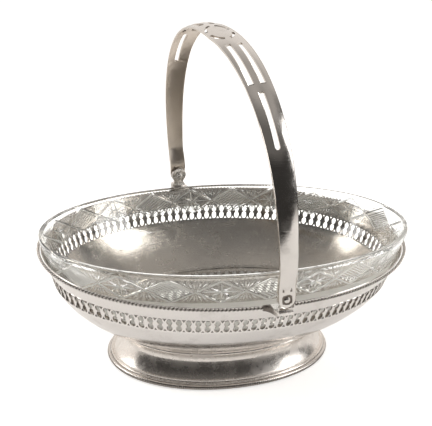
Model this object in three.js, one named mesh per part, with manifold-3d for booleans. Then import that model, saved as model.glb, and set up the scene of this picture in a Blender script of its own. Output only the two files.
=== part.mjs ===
// Oval swing-handled basket in plated metal, with a pierced gallery below a twisted rim wire,
// an oval spreading foot, a domed bail handle on half-lap hinges and a loose glass liner.
// Millimetres, +Z up. X is the long axis and Y the short one. The origin is the middle of
// the foot's underside. Rings are superellipses, given as half length, half width and height.

import * as THREE from 'three';
import { mergeVertices } from 'three/addons/utils/BufferGeometryUtils.js';
import Module from 'manifold-3d';

const wasm = await Module();
wasm.setup();

// Clearances
const SEAT_GAP = 0.3; // between pieces that are soldered or rest on each other
const RUNNING_GAP = 0.3; // between the moving faces of a hinge

// The oval that every ring shares: 2 is an ellipse, more is fuller at the shoulders
const OVAL_FULLNESS = 2.07;

// Bowl sheet
const RIM_HALF_LENGTH = 148;
const RIM_HALF_WIDTH = 112.1;
const RIM_HEIGHT = 97.6;
const SHEET = 1.2;
const BAND_DEPTH = 13; // plain band between the rim and the pierced gallery
const BAND_TAPER = 5.8; // how far the oval draws in over the plain band
const GALLERY_DEPTH = 13.2;
const GALLERY_TAPER = 4.4;
const BELLY_DROP = 24; // how far below the gallery the belly turns inwards
const BELLY_TAPER = 14;
const BASE_HALF_LENGTH = 83.8;
const BASE_HALF_WIDTH = 57.2;
const BASE_HEIGHT = 29.6; // height of the flat under the bowl
const BELLY_RINGS = 3;

// Pierced gallery: upright figure-of-eight holes, side by side all the way round
const GALLERY_HOLES = 112;
const HOLE_MARGIN = 1; // metal above and below the holes
const BAR_WIDTH = 1.7; // metal between two holes at their widest
const WAIST_WIDTH = 2.2; // width of a hole at its waist
const UPPER_LOBE_SHARE = 0.47; // share of a hole's height that its upper lobe takes

// Rim wire
const WIRE_RADIUS = 1.7;
const WIRE_SIDES = 6;
const WIRE_STEPS = 40;

// Foot
const FOOT_SPREAD = 7.2; // how far the foot's edge stands out past the flat under the bowl
const FOOT_WALL = 1.2;
const FOOT_EDGE_HEIGHT = 4.6;
const FOOT_RING_WIDTH = 3.4; // flat ring that the basket stands on
const STEP_WIDTH = 2.6;
const STEP_HEIGHT = 2.2;
const STEP_ROUND = 1.2; // rounding of the edge above the border
const WAIST_INSET = 9.4;
const WAIST_HEIGHT = 20;
const COVE_SAG = 1.4; // how far the cove runs on before it turns up
const BEAD_RADIUS = 1.3;
const BEAD_INSET = 7.2;
const BEAD_NECK = 0.4; // metal between the bead and the flange
const FOOT_SEAT_WIDTH = 4.5; // flange that is soldered under the bowl
const FOOT_SEGMENTS = 40;
const COVE_RINGS = 3;
const BORDER_WIDTH = 2.5; // half-round border round the foot's edge

// Hinges at the two ends of the short axis, measured outwards along Y
const PIVOT_RISE = 10.3; // of the hinge axis above the rim
const LUG_STAND_OFF = 9.3; // from the rim to the lug's inner face
const LUG_THICKNESS = 2.8;
const TONGUE_THICKNESS = 2.2;
const KNUCKLE_RADIUS = 6.5;
const LUG_WAIST = 4.2; // half width of the neck under the lug's disc
const LUG_FILLET = 1.4; // spread of the neck where it meets the plinth
const DISC_CLEARANCE = 1.2; // between the handle's knuckle and the plinth
const PLINTH_INSET = 0.8; // edge of the base that shows round the plinth
const PLINTH_HEIGHT = 1.6;
const LUG_BASE_HEIGHT = 4.8; // where it meets the rim
const LUG_NOSE_HEIGHT = 2.6; // at its front
const LUG_BASE_HALF_WIDTH = 12.5; // along the rim
const LUG_JOIN = 40; // degrees from straight down to where the neck leaves the disc
const FLARE_DEPTH = 2; // how far the flare keeps to the rim before it draws in
const NOSE_LENGTH = 3;
const RIVET_RADIUS = 1.5;
const RIVET_HEAD_RADIUS = 2.3;
const RIVET_HEAD_HEIGHT = 0.9;
const RECESS_RADIUS = 3.6;
const RECESS_DEPTH = 0.9;
const WASHER_RADIUS = 3.4;
const WASHER_THICKNESS = 0.7;
const RIVET_SIDES = 12;

// Bail handle, measured from the hinge axis
const HANDLE_LEAN = 4.92; // degrees towards -X, as it stands
const SWING_PAST_LEVEL = 2; // degrees that the handle can drop below level on either side
const ROOT_INSET = 1.4; // from the knuckle's outer face to the band's middle face
const ARM_BOW = 4.7; // how far the arms bow out between the hinge and the arch
const ARM_HEIGHT = 36.7; // where the straight arms turn into the arch
const ARCH_HEIGHT = 125.75;
const ARCH_FULLNESS = 2.27;
const BAND_THICKNESS = 1.7;
const BAND_ROOT_WIDTH = 11.7;
const BAND_MIDDLE_WIDTH = 19;
const BAND_TOP_WIDTH = 23.2;
const BAND_CROWN = 0.085; // rise of the domed section as a share of its width
const KNUCKLE_LENGTH = 26; // from the hinge axis to where the solid end has thinned to the band
const BLEND_START = 6.8; // from the hinge axis to where the dome starts to rise
const BLEND_END = 12.2; // and to where it has risen
const BLOCK_SETBACK = 1.6; // of the solid end's inner face from the lug's
const HANDLE_STEPS = 36;
const KNUCKLE_SIDES = 24;

// Slots in the band, placed one after another down from the cartouche at the top
const CENTRE_SLOT_LENGTH = 43.5;
const TWIN_SLOT_LENGTH = 49.5;
const SLOT_SPACING = 7.9; // between the centre slot and the twin slots
const CARTOUCHE_SPACING = 11.33; // between the twin slots and the ends of the cartouche
const TWIN_SLOT_OFFSET = 4.6;
const SLOT_WIDTH = 4;
const CARTOUCHE_HALF_LENGTH = 18;
const CARTOUCHE_HALF_WIDTH = 9;
const CARTOUCHE_SLOT_WIDTH = 2.1;
const CARTOUCHE_FROM = 16; // degrees round the cartouche at which its slots start and end
const CARTOUCHE_TO = 76;

// Glass liner, measured down from its own rim, which lies tilted in the basket
const LINER_OVERHANG = 2; // past the ends of the bowl's rim
const LINER_SIDE_INSET = 1.1; // inside the sides of the bowl's rim
const LINER_STAND = 15.3; // above the bowl's rim
const LINER_SHIFT = 1.96; // towards -Y
const LINER_TILT = 5.47; // degrees, the -Y side raised
const LINER_EDGE_DEPTH = 3.2;
const LINER_BAND_DEPTH = 18; // cut band below the plain edge
const LINER_BAND_TAPER = 7;
const LINER_WALL = 3.6;
const LINER_FLOOR_EXTRA = 1; // thicker glass in the floor
const LINER_FLOOR_RISE = 19.3; // above the flat under the bowl
const LINER_END_SPREAD = 8.2; // past the ends of that flat
const LINER_SIDE_SPREAD = 4.8; // past its sides
const LINER_BELLY_DROP = 26;
const LINER_BELLY_TAPER = 8;
const LINER_BELLY_RINGS = 3;
const LINER_SEGMENTS = 40;

// Materials
const plate = new THREE.MeshStandardMaterial({ color: 0xcfc8c1, metalness: 1, roughness: 0.2 });
const wire = new THREE.MeshStandardMaterial({ color: 0xc3bbb2, metalness: 1, roughness: 0.32 });
const glass = new THREE.MeshStandardMaterial({
  color: 0xe6e9e2,
  metalness: 0,
  roughness: 0.06,
  transparent: true,
  opacity: 0.35,
});

// A point of the superellipse at parameter t, from 0 to 1 round the ring
function ovalPoint(halfLength, halfWidth, height, t) {
  const angle = t * 2 * Math.PI;
  const along = Math.cos(angle);
  const across = Math.sin(angle);
  const power = 2 / OVAL_FULLNESS;
  return new THREE.Vector3(
    halfLength * Math.sign(along) * Math.abs(along) ** power,
    halfWidth * Math.sign(across) * Math.abs(across) ** power,
    height,
  );
}

// A closed or open stretch of an oval ring, as a curve
class OvalCurve extends THREE.Curve {
  constructor(halfLength, halfWidth, height, from = 0, to = 1) {
    super();
    this.arcLengthDivisions = 2000;
    this.halfLength = halfLength;
    this.halfWidth = halfWidth;
    this.height = height;
    this.from = from;
    this.to = to;
  }

  getPoint(t) {
    const turn = THREE.MathUtils.lerp(this.from, this.to, t);
    return ovalPoint(this.halfLength, this.halfWidth, this.height, turn);
  }
}

// A station is one ring of a shell: half length, half width and height as x, y and z
const station = (halfLength, halfWidth, height) => new THREE.Vector3(halfLength, halfWidth, height);

// The same ring drawn in on every side by a distance, at another height
const drawnIn = (ring, distance, height) => station(ring.x - distance, ring.y - distance, height);

// Stations moved inwards, square to the profile, by the thickness of the wall
function insetStations(stations, wall) {
  return stations.map((ring, i) => {
    const before = stations[Math.max(i - 1, 0)];
    const after = stations[Math.min(i + 1, stations.length - 1)];
    const run = new THREE.Vector2(after.x - before.x, after.z - before.z).normalize();
    return drawnIn(ring, run.y * wall, ring.z + run.x * wall);
  });
}

// Merges equal vertices, drops triangles without area and recomputes the normals
function weld(geometry) {
  const bare = geometry.index ? geometry.toNonIndexed() : geometry.clone();
  bare.deleteAttribute('normal');
  bare.deleteAttribute('uv');
  const merged = mergeVertices(bare, 1e-3);
  const source = merged.index.array;
  const kept = [];
  for (let i = 0; i < source.length; i += 3) {
    const [a, b, c] = source.slice(i, i + 3);
    if (a !== b && b !== c && c !== a) kept.push(a, b, c);
  }
  merged.setIndex(kept);
  merged.computeVertexNormals();
  return merged;
}

// Adds the triangles between two rings that run the same way round. The second ring has as
// many points as the first, or half as many.
function addRow(soup, lower, upper) {
  const ratio = lower.length / upper.length;
  for (let i = 0; i < upper.length; i += 1) {
    const j = (i + 1) % upper.length;
    for (let k = 0; k < ratio; k += 1) {
      const a = i * ratio + k;
      const b = (a + 1) % lower.length;
      soup.push(lower[a], lower[b], k < ratio / 2 ? upper[i] : upper[j]);
      if (k + 1 === Math.ceil(ratio / 2)) soup.push(lower[b], upper[j], upper[i]);
    }
  }
}

// Turns triangles inside out
function flipped(soup) {
  return soup.flatMap((point, i) => (i % 3 === 0 ? [soup[i], soup[i + 2], soup[i + 1]] : []));
}

// A solid swept through closed rings of equal count, capped at both ends
function loft(rings) {
  const soup = [];
  for (let i = 0; i + 1 < rings.length; i += 1) addRow(soup, rings[i], rings[i + 1]);
  const addCap = (ring, swap) => {
    for (let i = 1; i + 1 < ring.length; i += 1) {
      soup.push(ring[0], swap ? ring[i + 1] : ring[i], swap ? ring[i] : ring[i + 1]);
    }
  };
  addCap(rings[0], true);
  addCap(rings.at(-1), false);
  return weld(new THREE.BufferGeometry().setFromPoints(soup));
}

// A shell from a closed profile of stations. It is turned as a round one, then drawn to the oval.
function ovalLathe(stations, segments) {
  const profile = stations.map((ring) => new THREE.Vector2(ring.x, ring.z));
  const turned = new THREE.LatheGeometry(profile, segments);
  const position = turned.attributes.position;
  for (let turn = 0; turn <= segments; turn += 1) {
    stations.forEach((ring, i) => {
      const point = ovalPoint(ring.x, ring.y, ring.z, (turn % segments) / segments);
      position.setXYZ(turn * stations.length + i, point.x, point.y, point.z);
    });
  }
  return weld(turned);
}

// Solid geometry to and from the boolean library
function toSolid(geometry) {
  const welded = weld(geometry);
  return new wasm.Manifold(new wasm.Mesh({
    numProp: 3,
    vertProperties: new Float32Array(welded.attributes.position.array),
    triVerts: new Uint32Array(welded.index.array),
  }));
}

function fromSolid(solid) {
  const mesh = solid.getMesh();
  const geometry = new THREE.BufferGeometry();
  geometry.setAttribute('position', new THREE.BufferAttribute(mesh.vertProperties, 3));
  geometry.setIndex(new THREE.BufferAttribute(mesh.triVerts, 1));
  return weld(geometry);
}

// Stations of the bowl's outside, from the rim down to the flat under it
const rimRing = station(RIM_HALF_LENGTH, RIM_HALF_WIDTH, RIM_HEIGHT);
const galleryTop = drawnIn(rimRing, BAND_TAPER, RIM_HEIGHT - BAND_DEPTH);
const galleryFoot = drawnIn(galleryTop, GALLERY_TAPER, galleryTop.z - GALLERY_DEPTH);
const baseEdge = station(BASE_HALF_LENGTH, BASE_HALF_WIDTH, BASE_HEIGHT);
const bellyPull = drawnIn(galleryFoot, BELLY_TAPER, galleryFoot.z - BELLY_DROP);
const belly = new THREE.QuadraticBezierCurve3(galleryFoot, bellyPull, baseEdge);

// One cell of the gallery, a unit wide and high: the bar between the middles of two holes
function galleryCell() {
  const pitch = new OvalCurve(galleryTop.x, galleryTop.y, galleryTop.z).getLength() / GALLERY_HOLES;
  const margin = HOLE_MARGIN / GALLERY_DEPTH;
  const lobe = (1 - BAR_WIDTH / pitch) / 2;
  const waist = WAIST_WIDTH / pitch / 2;
  const neck = 1 - margin - (1 - 2 * margin) * UPPER_LOBE_SHARE;
  // Right half of a hole from the top down, as distances from its middle line
  const half = [[0, 1 - margin]];
  const lobes = [[1 - margin, neck], [neck, margin]];
  lobes.forEach(([top, bottom], i) => {
    half.push([lobe * 0.9, THREE.MathUtils.lerp(top, bottom, 0.28)]);
    half.push([lobe, THREE.MathUtils.lerp(top, bottom, 0.64)]);
    half.push(i === 0 ? [waist, neck] : [0, margin]);
  });
  const outline = [[0, 1], ...half, [0, 0]];
  const cell = new THREE.Shape();
  cell.moveTo(...outline[0]);
  outline.slice(1).forEach(([x, y]) => cell.lineTo(x, y));
  [...outline].reverse().forEach(([x, y]) => cell.lineTo(1 - x, y));
  return cell;
}

// The bowl is one sheet: floor, belly, pierced gallery and plain band
function bowlGeometry() {
  const guide = new OvalCurve(galleryTop.x, galleryTop.y, galleryTop.z);
  const turnOf = (cells) => guide.getUtoTmapping((cells % GALLERY_HOLES) / GALLERY_HOLES);
  const turns = Array.from({ length: GALLERY_HOLES }, (_, i) => turnOf(i));
  const halfTurns = turns.filter((_, i) => i % 2 === 0);
  const ringAt = (ring, list) => list.map((t) => ovalPoint(ring.x, ring.y, ring.z, t));
  const outer = [rimRing, galleryTop, galleryFoot, ...belly.getPoints(BELLY_RINGS).slice(1)];
  const inner = insetStations(outer.toReversed(), SHEET).toReversed();
  inner[0].z = RIM_HEIGHT;
  const soup = [];

  // One face of the sheet, leaving out the gallery between its second and third stations
  const face = (stations) => {
    const side = [];
    const [rim, top, foot, ...lower] = stations;
    addRow(side, ringAt(top, turns), ringAt(rim, turns));
    const reversedRow = [];
    addRow(reversedRow, ringAt(foot, turns), ringAt(lower[0], halfTurns));
    side.push(...flipped(reversedRow));
    for (let i = 0; i + 1 < lower.length; i += 1) {
      addRow(side, ringAt(lower[i + 1], halfTurns), ringAt(lower[i], halfTurns));
    }
    const floor = ringAt(lower.at(-1), halfTurns);
    const middle = new THREE.Vector3(0, 0, lower.at(-1).z);
    floor.forEach((point, i) => side.push(middle, floor[(i + 1) % floor.length], point));
    return side;
  };
  soup.push(...face(outer), ...flipped(face(inner)));
  addRow(soup, ringAt(outer[0], turns), ringAt(inner[0], turns));

  // The gallery: flat cells pierced and then bent round the oval
  const cell = new THREE.ExtrudeGeometry(galleryCell(), { depth: 1, bevelEnabled: false });
  const flat = cell.attributes.position;
  const bend = (point, i) => {
    const wall = [outer, inner].map((stations) => {
      const ring = stations[2].clone().lerp(stations[1], point.y);
      return ovalPoint(ring.x, ring.y, ring.z, turnOf(i + point.x));
    });
    return point.z < 0.5 ? wall[0] : wall[1];
  };
  const corner = new THREE.Vector3();
  for (let k = 0; k < flat.count; k += 3) {
    const corners = [0, 1, 2].map((n) => corner.clone().fromBufferAttribute(flat, k + n));
    const onSeam = (axis, value) => corners.every((point) => Math.abs(point[axis] - value) < 1e-6);
    const inside = ![0, 1].some((value) => onSeam('x', value) || onSeam('y', value));
    for (let i = 0; inside && i < GALLERY_HOLES; i += 1) {
      const [a, b, c] = corners.map((point) => bend(point, i));
      soup.push(a, c, b);
    }
  }
  return weld(new THREE.BufferGeometry().setFromPoints(soup));
}

// Half of the rim wire, from one lug to the other round an end of the bowl
function rimWireGeometry(end) {
  const halfLength = RIM_HALF_LENGTH + SEAT_GAP + WIRE_RADIUS;
  const halfWidth = RIM_HALF_WIDTH + SEAT_GAP + WIRE_RADIUS;
  const cut = (LUG_BASE_HALF_WIDTH + SEAT_GAP) / halfLength;
  const skip = Math.asin(cut ** (OVAL_FULLNESS / 2)) / (2 * Math.PI);
  const middle = end > 0 ? 0 : 0.5;
  const height = RIM_HEIGHT - WIRE_RADIUS / 2;
  const path = new OvalCurve(halfLength, halfWidth, height, middle - 0.25 + skip, middle + 0.25 - skip);
  const section = new THREE.Shape(new THREE.EllipseCurve(0, 0, WIRE_RADIUS, WIRE_RADIUS).getPoints(WIRE_SIDES));
  return weld(new THREE.ExtrudeGeometry(section, { steps: WIRE_STEPS, extrudePath: path }));
}

// Outline of the foot on the table
const footEdge = station(BASE_HALF_LENGTH + FOOT_SPREAD, BASE_HALF_WIDTH + FOOT_SPREAD, 0);

// Foot: edge, step, cove up to the waist, bead and the flange under the bowl
function footGeometry() {
  const at = (inset, height) => drawnIn(footEdge, inset, height);
  const seatHeight = BASE_HEIGHT - SEAT_GAP;
  const coveStart = at(STEP_WIDTH, FOOT_EDGE_HEIGHT + STEP_HEIGHT);
  const covePull = at(WAIST_INSET - FOOT_WALL / 2, coveStart.z + COVE_SAG);
  const cove = new THREE.QuadraticBezierCurve3(coveStart, covePull, at(WAIST_INSET, WAIST_HEIGHT));
  const beadHeight = seatHeight - BEAD_RADIUS - BEAD_NECK;
  const round = new THREE.EllipseCurve(0, 0, BEAD_RADIUS, BEAD_RADIUS, -Math.PI / 3, Math.PI / 3);
  const bead = round.getPoints(2).map((point) => at(BEAD_INSET - point.x, beadHeight + point.y));
  const underBead = at(BEAD_INSET + BEAD_NECK, beadHeight - BEAD_RADIUS);
  const shoulder = at(STEP_ROUND, FOOT_EDGE_HEIGHT + STEP_ROUND);
  const outside = [at(0, FOOT_EDGE_HEIGHT), shoulder, ...cove.getPoints(COVE_RINGS), underBead];
  const inside = insetStations(outside, FOOT_WALL).slice(2).toReversed();
  const flange = BEAD_INSET + FOOT_SEAT_WIDTH;
  const seat = [at(BEAD_INSET, seatHeight), at(flange, seatHeight), at(flange, seatHeight - FOOT_WALL)];
  const ring = [at(FOOT_RING_WIDTH, FOOT_EDGE_HEIGHT - FOOT_WALL), at(FOOT_RING_WIDTH, 0)];
  return ovalLathe([footEdge, ...outside, ...bead, ...seat, ...inside, ...ring, footEdge], FOOT_SEGMENTS);
}

// Half-round border soldered round the foot's edge
function footBorderGeometry() {
  const rise = (FOOT_EDGE_HEIGHT - 2 * SEAT_GAP) / 2;
  const round = new THREE.EllipseCurve(0, SEAT_GAP + rise, BORDER_WIDTH, rise, -Math.PI / 2, Math.PI / 2);
  const rings = round.getPoints(4).map((point) => drawnIn(footEdge, -SEAT_GAP - point.x, point.y));
  return ovalLathe([...rings, rings[0]], FOOT_SEGMENTS);
}

// Heights and distances that the hinge pieces share. Outwards is along Y from the middle.
const pivotHeight = RIM_HEIGHT + PIVOT_RISE;
const lugFace = RIM_HALF_WIDTH + LUG_STAND_OFF;
const tongueFace = lugFace + LUG_THICKNESS + RUNNING_GAP;
const tongueBack = tongueFace + TONGUE_THICKNESS;
const plinthTop = pivotHeight - KNUCKLE_RADIUS - DISC_CLEARANCE;
const lugBaseTop = plinthTop - PLINTH_HEIGHT;
const rivetHole = RIVET_RADIUS + RUNNING_GAP;

// A shape drawn in X and Z and extruded outwards along Y, between two distances
function uprightPlate(shape, from, to) {
  const geometry = new THREE.ExtrudeGeometry(shape, { depth: to - from, bevelEnabled: false, curveSegments: 6 });
  geometry.rotateX(Math.PI / 2);
  geometry.translate(0, to, 0);
  return geometry;
}

// A round bar along Y
function crossBar(radius, from, to, height, sides = RIVET_SIDES) {
  const bar = new THREE.CylinderGeometry(radius, radius, to - from, sides);
  bar.translate(0, (from + to) / 2, height);
  return bar;
}

// Lug: a disc on a necked stem, on a base that flares along the rim
function lugGeometry() {
  const disc = new THREE.Shape();
  const join = THREE.MathUtils.degToRad(LUG_JOIN);
  const neckTop = pivotHeight - KNUCKLE_RADIUS * Math.cos(join);
  const shoulder = KNUCKLE_RADIUS * Math.sin(join);
  disc.moveTo(-LUG_WAIST - LUG_FILLET, lugBaseTop);
  disc.lineTo(LUG_WAIST + LUG_FILLET, lugBaseTop);
  disc.quadraticCurveTo(LUG_WAIST, plinthTop, shoulder, neckTop);
  disc.absarc(0, pivotHeight, KNUCKLE_RADIUS, join - Math.PI / 2, Math.PI * 1.5 - join, false);
  disc.quadraticCurveTo(-LUG_WAIST, plinthTop, -LUG_WAIST - LUG_FILLET, lugBaseTop);
  const stem = uprightPlate(disc, lugFace, lugFace + LUG_THICKNESS);

  // Base seen from above: wide along the rim, drawn in to a nose under the knuckle
  const wall = RIM_HALF_WIDTH + SEAT_GAP;
  const front = tongueBack;
  const nose = KNUCKLE_RADIUS;
  const bend = front - NOSE_LENGTH;
  const flare = new THREE.Shape();
  flare.moveTo(-LUG_BASE_HALF_WIDTH, wall);
  flare.lineTo(LUG_BASE_HALF_WIDTH, wall);
  flare.quadraticCurveTo(nose, wall + FLARE_DEPTH, nose, bend);
  flare.lineTo(nose - PLINTH_INSET, front);
  flare.lineTo(-nose + PLINTH_INSET, front);
  flare.lineTo(-nose, bend);
  flare.quadraticCurveTo(-nose, wall + FLARE_DEPTH, -LUG_BASE_HALF_WIDTH, wall);
  const base = new THREE.ExtrudeGeometry(flare, { depth: LUG_BASE_HEIGHT, bevelEnabled: false, curveSegments: 5 });
  base.translate(0, 0, lugBaseTop - LUG_BASE_HEIGHT);

  // Seen from the side, its underside rises in a curve towards the nose
  const foot = lugBaseTop - LUG_BASE_HEIGHT;
  const side = new THREE.Shape();
  side.moveTo(wall, lugBaseTop);
  side.lineTo(wall, foot);
  side.lineTo(wall + NOSE_LENGTH, foot);
  side.quadraticCurveTo(bend, foot, front, lugBaseTop - LUG_NOSE_HEIGHT);
  side.lineTo(front, lugBaseTop);
  const width = 2 * LUG_BASE_HALF_WIDTH;
  const trim = new THREE.ExtrudeGeometry(side, { depth: width, bevelEnabled: false, curveSegments: 4 });
  trim.rotateX(Math.PI / 2).rotateZ(Math.PI / 2).translate(-width / 2, 0, 0);

  // The plinth is sunk a little into the base, so that the two are one solid
  const sunk = PLINTH_INSET / 4;
  const depth = front - PLINTH_INSET - lugFace;
  const plinth = new THREE.BoxGeometry(2 * (nose - PLINTH_INSET), depth, PLINTH_HEIGHT + sunk);
  plinth.translate(0, lugFace + depth / 2, lugBaseTop + (PLINTH_HEIGHT - sunk) / 2);
  const bore = crossBar(rivetHole, lugFace - 1, lugFace + LUG_THICKNESS + 1, pivotHeight);
  const body = toSolid(base).intersect(toSolid(trim)).add(toSolid(plinth));
  return fromSolid(body.add(toSolid(stem)).subtract(toSolid(bore)));
}

// Rivet with a domed head in the handle's recess and a tail peened over the washer
function rivetGeometry() {
  const floor = tongueBack - RECESS_DEPTH + SEAT_GAP;
  const tailEnd = lugFace - 2 * SEAT_GAP - WASHER_THICKNESS;
  const profile = [
    [0, tailEnd - RIVET_HEAD_HEIGHT],
    [RIVET_HEAD_RADIUS * 0.7, tailEnd - RIVET_HEAD_HEIGHT],
    [RIVET_HEAD_RADIUS, tailEnd - RIVET_HEAD_HEIGHT / 2],
    [RIVET_HEAD_RADIUS, tailEnd],
    [RIVET_RADIUS, tailEnd],
    [RIVET_RADIUS, floor],
    [RIVET_HEAD_RADIUS, floor],
    [RIVET_HEAD_RADIUS * 0.9, floor + RIVET_HEAD_HEIGHT * 0.5],
    [RIVET_HEAD_RADIUS * 0.5, floor + RIVET_HEAD_HEIGHT * 0.9],
    [0, floor + RIVET_HEAD_HEIGHT],
  ];
  const geometry = new THREE.LatheGeometry(profile.map(([r, y]) => new THREE.Vector2(r, y)), RIVET_SIDES);
  return weld(geometry.translate(0, 0, pivotHeight));
}

function washerGeometry() {
  const back = lugFace - SEAT_GAP;
  const corners = [[rivetHole, -WASHER_THICKNESS], [WASHER_RADIUS, -WASHER_THICKNESS], [WASHER_RADIUS, 0], [rivetHole, 0]];
  const profile = [...corners, corners[0]].map(([r, y]) => new THREE.Vector2(r, back + y));
  return weld(new THREE.LatheGeometry(profile, RIVET_SIDES).translate(0, 0, pivotHeight));
}

// Half spans of the bail's middle line, at the hinge axis and where the arch begins
const rootSpan = tongueBack - ROOT_INSET;
const archSpan = rootSpan + ARM_BOW;

// Middle line of the bail, from the hinge at -Y over the top to the hinge at +Y. It is drawn
// round the hinge axis: two arms that bow out a little, then half of a full arch.
class BailCurve extends THREE.Curve {
  constructor() {
    super();
    this.arcLengthDivisions = 4000;
  }

  getPoint(t) {
    const side = t < 0.5 ? -1 : 1;
    const climb = 1 - Math.abs(2 * t - 1);
    const armShare = 0.2;
    if (climb < armShare) {
      const k = 1 - climb / armShare;
      const span = archSpan - ARM_BOW * k * k;
      return new THREE.Vector3(0, side * span, ARM_HEIGHT * (1 - k));
    }
    const angle = ((climb - armShare) / (1 - armShare)) * (Math.PI / 2);
    const power = 2 / ARCH_FULLNESS;
    const span = archSpan * Math.max(Math.cos(angle), 0) ** power;
    return new THREE.Vector3(0, side * span, ARM_HEIGHT + ARCH_HEIGHT * Math.sin(angle) ** power);
  }
}

const bail = new BailCurve();
const bailLength = bail.getLength();

function bandWidth(distance) {
  const share = Math.min(distance, bailLength - distance) / (bailLength / 2);
  const rest = 1 - share;
  const width = BAND_ROOT_WIDTH * rest * rest + 2 * BAND_MIDDLE_WIDTH * share * rest + BAND_TOP_WIDTH * share * share;
  return Math.max(width, 2 * KNUCKLE_RADIUS);
}

// A point of the band: distance along it, offset across it and height off its middle face
function bandPoint(distance, across, off) {
  const u = THREE.MathUtils.clamp(distance / bailLength, 0, 1);
  const point = bail.getPointAt(u);
  const along = bail.getTangentAt(u);
  const width = bandWidth(distance);
  const crown = BAND_CROWN * width * (1 - (2 * across / width) ** 2);
  const outwards = new THREE.Vector3(0, -along.z, along.y);
  point.addScaledVector(outwards, off + crown - BAND_CROWN * width);
  point.x = across;
  return point;
}

// Section of the handle. At its ends the domed band turns into a flat block as thick as the hinge.
function handleRing(distance) {
  const fromHinge = Math.min(distance, bailLength - distance);
  const side = distance < bailLength / 2 ? -1 : 1;
  const half = bandWidth(distance) / 2;
  const height = bail.getPointAt(distance / bailLength).z;
  const face = (off, rootFace, blendEnd, list) => list.map((k) => {
    const share = THREE.MathUtils.smoothstep(fromHinge, BLEND_START, blendEnd);
    const flat = new THREE.Vector3(k * half, side * rootFace, height);
    return flat.lerp(bandPoint(distance, k * half, off), share);
  });
  const across = [-1, -0.5, 0, 0.5, 1];
  const outer = face(BAND_THICKNESS / 2, tongueBack, BLEND_END, across);
  const block = lugFace + BLOCK_SETBACK;
  return [...outer, ...face(-BAND_THICKNESS / 2, block, KNUCKLE_LENGTH, across.toReversed())];
}

function bandGeometry() {
  const steps = Array.from({ length: HANDLE_STEPS + 1 }, (_, i) => i / HANDLE_STEPS);
  const along = steps.map((share) => THREE.MathUtils.lerp(BLEND_END, bailLength - BLEND_END, share));
  const stops = [0, BLEND_START, ...along, bailLength - BLEND_START, bailLength];
  return loft(stops.map(handleRing));
}

// A cutter through the band between two lines of [distance, across] pairs
function slotCutter(left, right) {
  const reach = 6;
  return loft(left.map(([distance, across], i) => [
    bandPoint(distance, across, reach),
    bandPoint(right[i][0], right[i][1], reach),
    bandPoint(right[i][0], right[i][1], -reach),
    bandPoint(distance, across, -reach),
  ]));
}

function straightSlot(from, to, across, roundStart) {
  const half = SLOT_WIDTH / 2;
  const marks = Array.from({ length: 7 }, (_, i) => [THREE.MathUtils.lerp(from + half, to, i / 6), half]);
  const start = roundStart ? [[from, half * 0.4], [from + half * 0.4, half * 0.85]] : [[from, half]];
  const edges = [...start, ...marks];
  return slotCutter(
    edges.map(([distance, reach]) => [distance, across - reach]),
    edges.map(([distance, reach]) => [distance, across + reach]),
  );
}

// One of the four curved slots round the plain cartouche at the top of the handle
function cartoucheSlot(along, across) {
  const line = (offset) => Array.from({ length: 5 }, (_, i) => {
    const angle = THREE.MathUtils.degToRad(THREE.MathUtils.lerp(CARTOUCHE_FROM, CARTOUCHE_TO, i / 4));
    const length = (CARTOUCHE_HALF_LENGTH + offset) * Math.sin(angle);
    const width = (CARTOUCHE_HALF_WIDTH + offset) * Math.cos(angle);
    return [bailLength / 2 + along * length, across * width];
  });
  const inside = line(-CARTOUCHE_SLOT_WIDTH / 2);
  const outside = line(CARTOUCHE_SLOT_WIDTH / 2);
  return along * across > 0 ? slotCutter(inside, outside) : slotCutter(outside, inside);
}

// Room for the lug's disc and neck at one end of the handle. The neck stops against the flats
// of the handle's block when the handle has swung down past level.
function lugRoom() {
  const neck = Math.atan2(LUG_WAIST + 2 * RUNNING_GAP, KNUCKLE_RADIUS);
  const rise = Math.tan(neck + THREE.MathUtils.degToRad(SWING_PAST_LEVEL));
  const reach = 2 * KNUCKLE_RADIUS;
  const wedge = new THREE.Shape();
  wedge.moveTo(0, 0);
  wedge.lineTo(-reach, reach * rise);
  wedge.lineTo(-reach, -reach);
  wedge.lineTo(reach, -reach);
  wedge.lineTo(reach, reach * rise);
  const from = lugFace - 1;
  const round = crossBar(KNUCKLE_RADIUS + DISC_CLEARANCE, from, tongueFace, 0, KNUCKLE_SIDES);
  return toSolid(round).add(toSolid(uprightPlate(wedge, from, tongueFace)));
}

// The handle: band, knuckles with bores and recesses for the rivets, and all the slots
function handleGeometry() {
  const cartoucheEnd = bailLength / 2 - CARTOUCHE_HALF_LENGTH;
  const twinTop = cartoucheEnd - CARTOUCHE_SPACING;
  const twinFoot = twinTop - TWIN_SLOT_LENGTH;
  const centreTop = twinFoot - SLOT_SPACING;
  const centreFoot = centreTop - CENTRE_SLOT_LENGTH;
  let solid = toSolid(bandGeometry());
  [0, 180].forEach((turn) => {
    const place = (piece) => piece.rotate([0, 0, turn]);
    const cut = (geometry) => {
      solid = solid.subtract(place(toSolid(geometry)));
    };
    solid = solid.subtract(place(lugRoom()));
    solid = solid.add(place(toSolid(crossBar(KNUCKLE_RADIUS, tongueFace, tongueBack, 0, KNUCKLE_SIDES))));
    cut(crossBar(rivetHole, lugFace, tongueBack + 1, 0));
    cut(crossBar(RECESS_RADIUS, tongueBack - RECESS_DEPTH, tongueBack + 1, 0));
    cut(straightSlot(centreFoot, centreTop, 0, true));
    [-1, 1].forEach((across) => {
      cut(straightSlot(twinFoot, twinTop, across * TWIN_SLOT_OFFSET, false));
      cut(cartoucheSlot(-1, across));
    });
  });
  return fromSolid(solid);
}

const linerHeight = RIM_HEIGHT + LINER_STAND;

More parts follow.
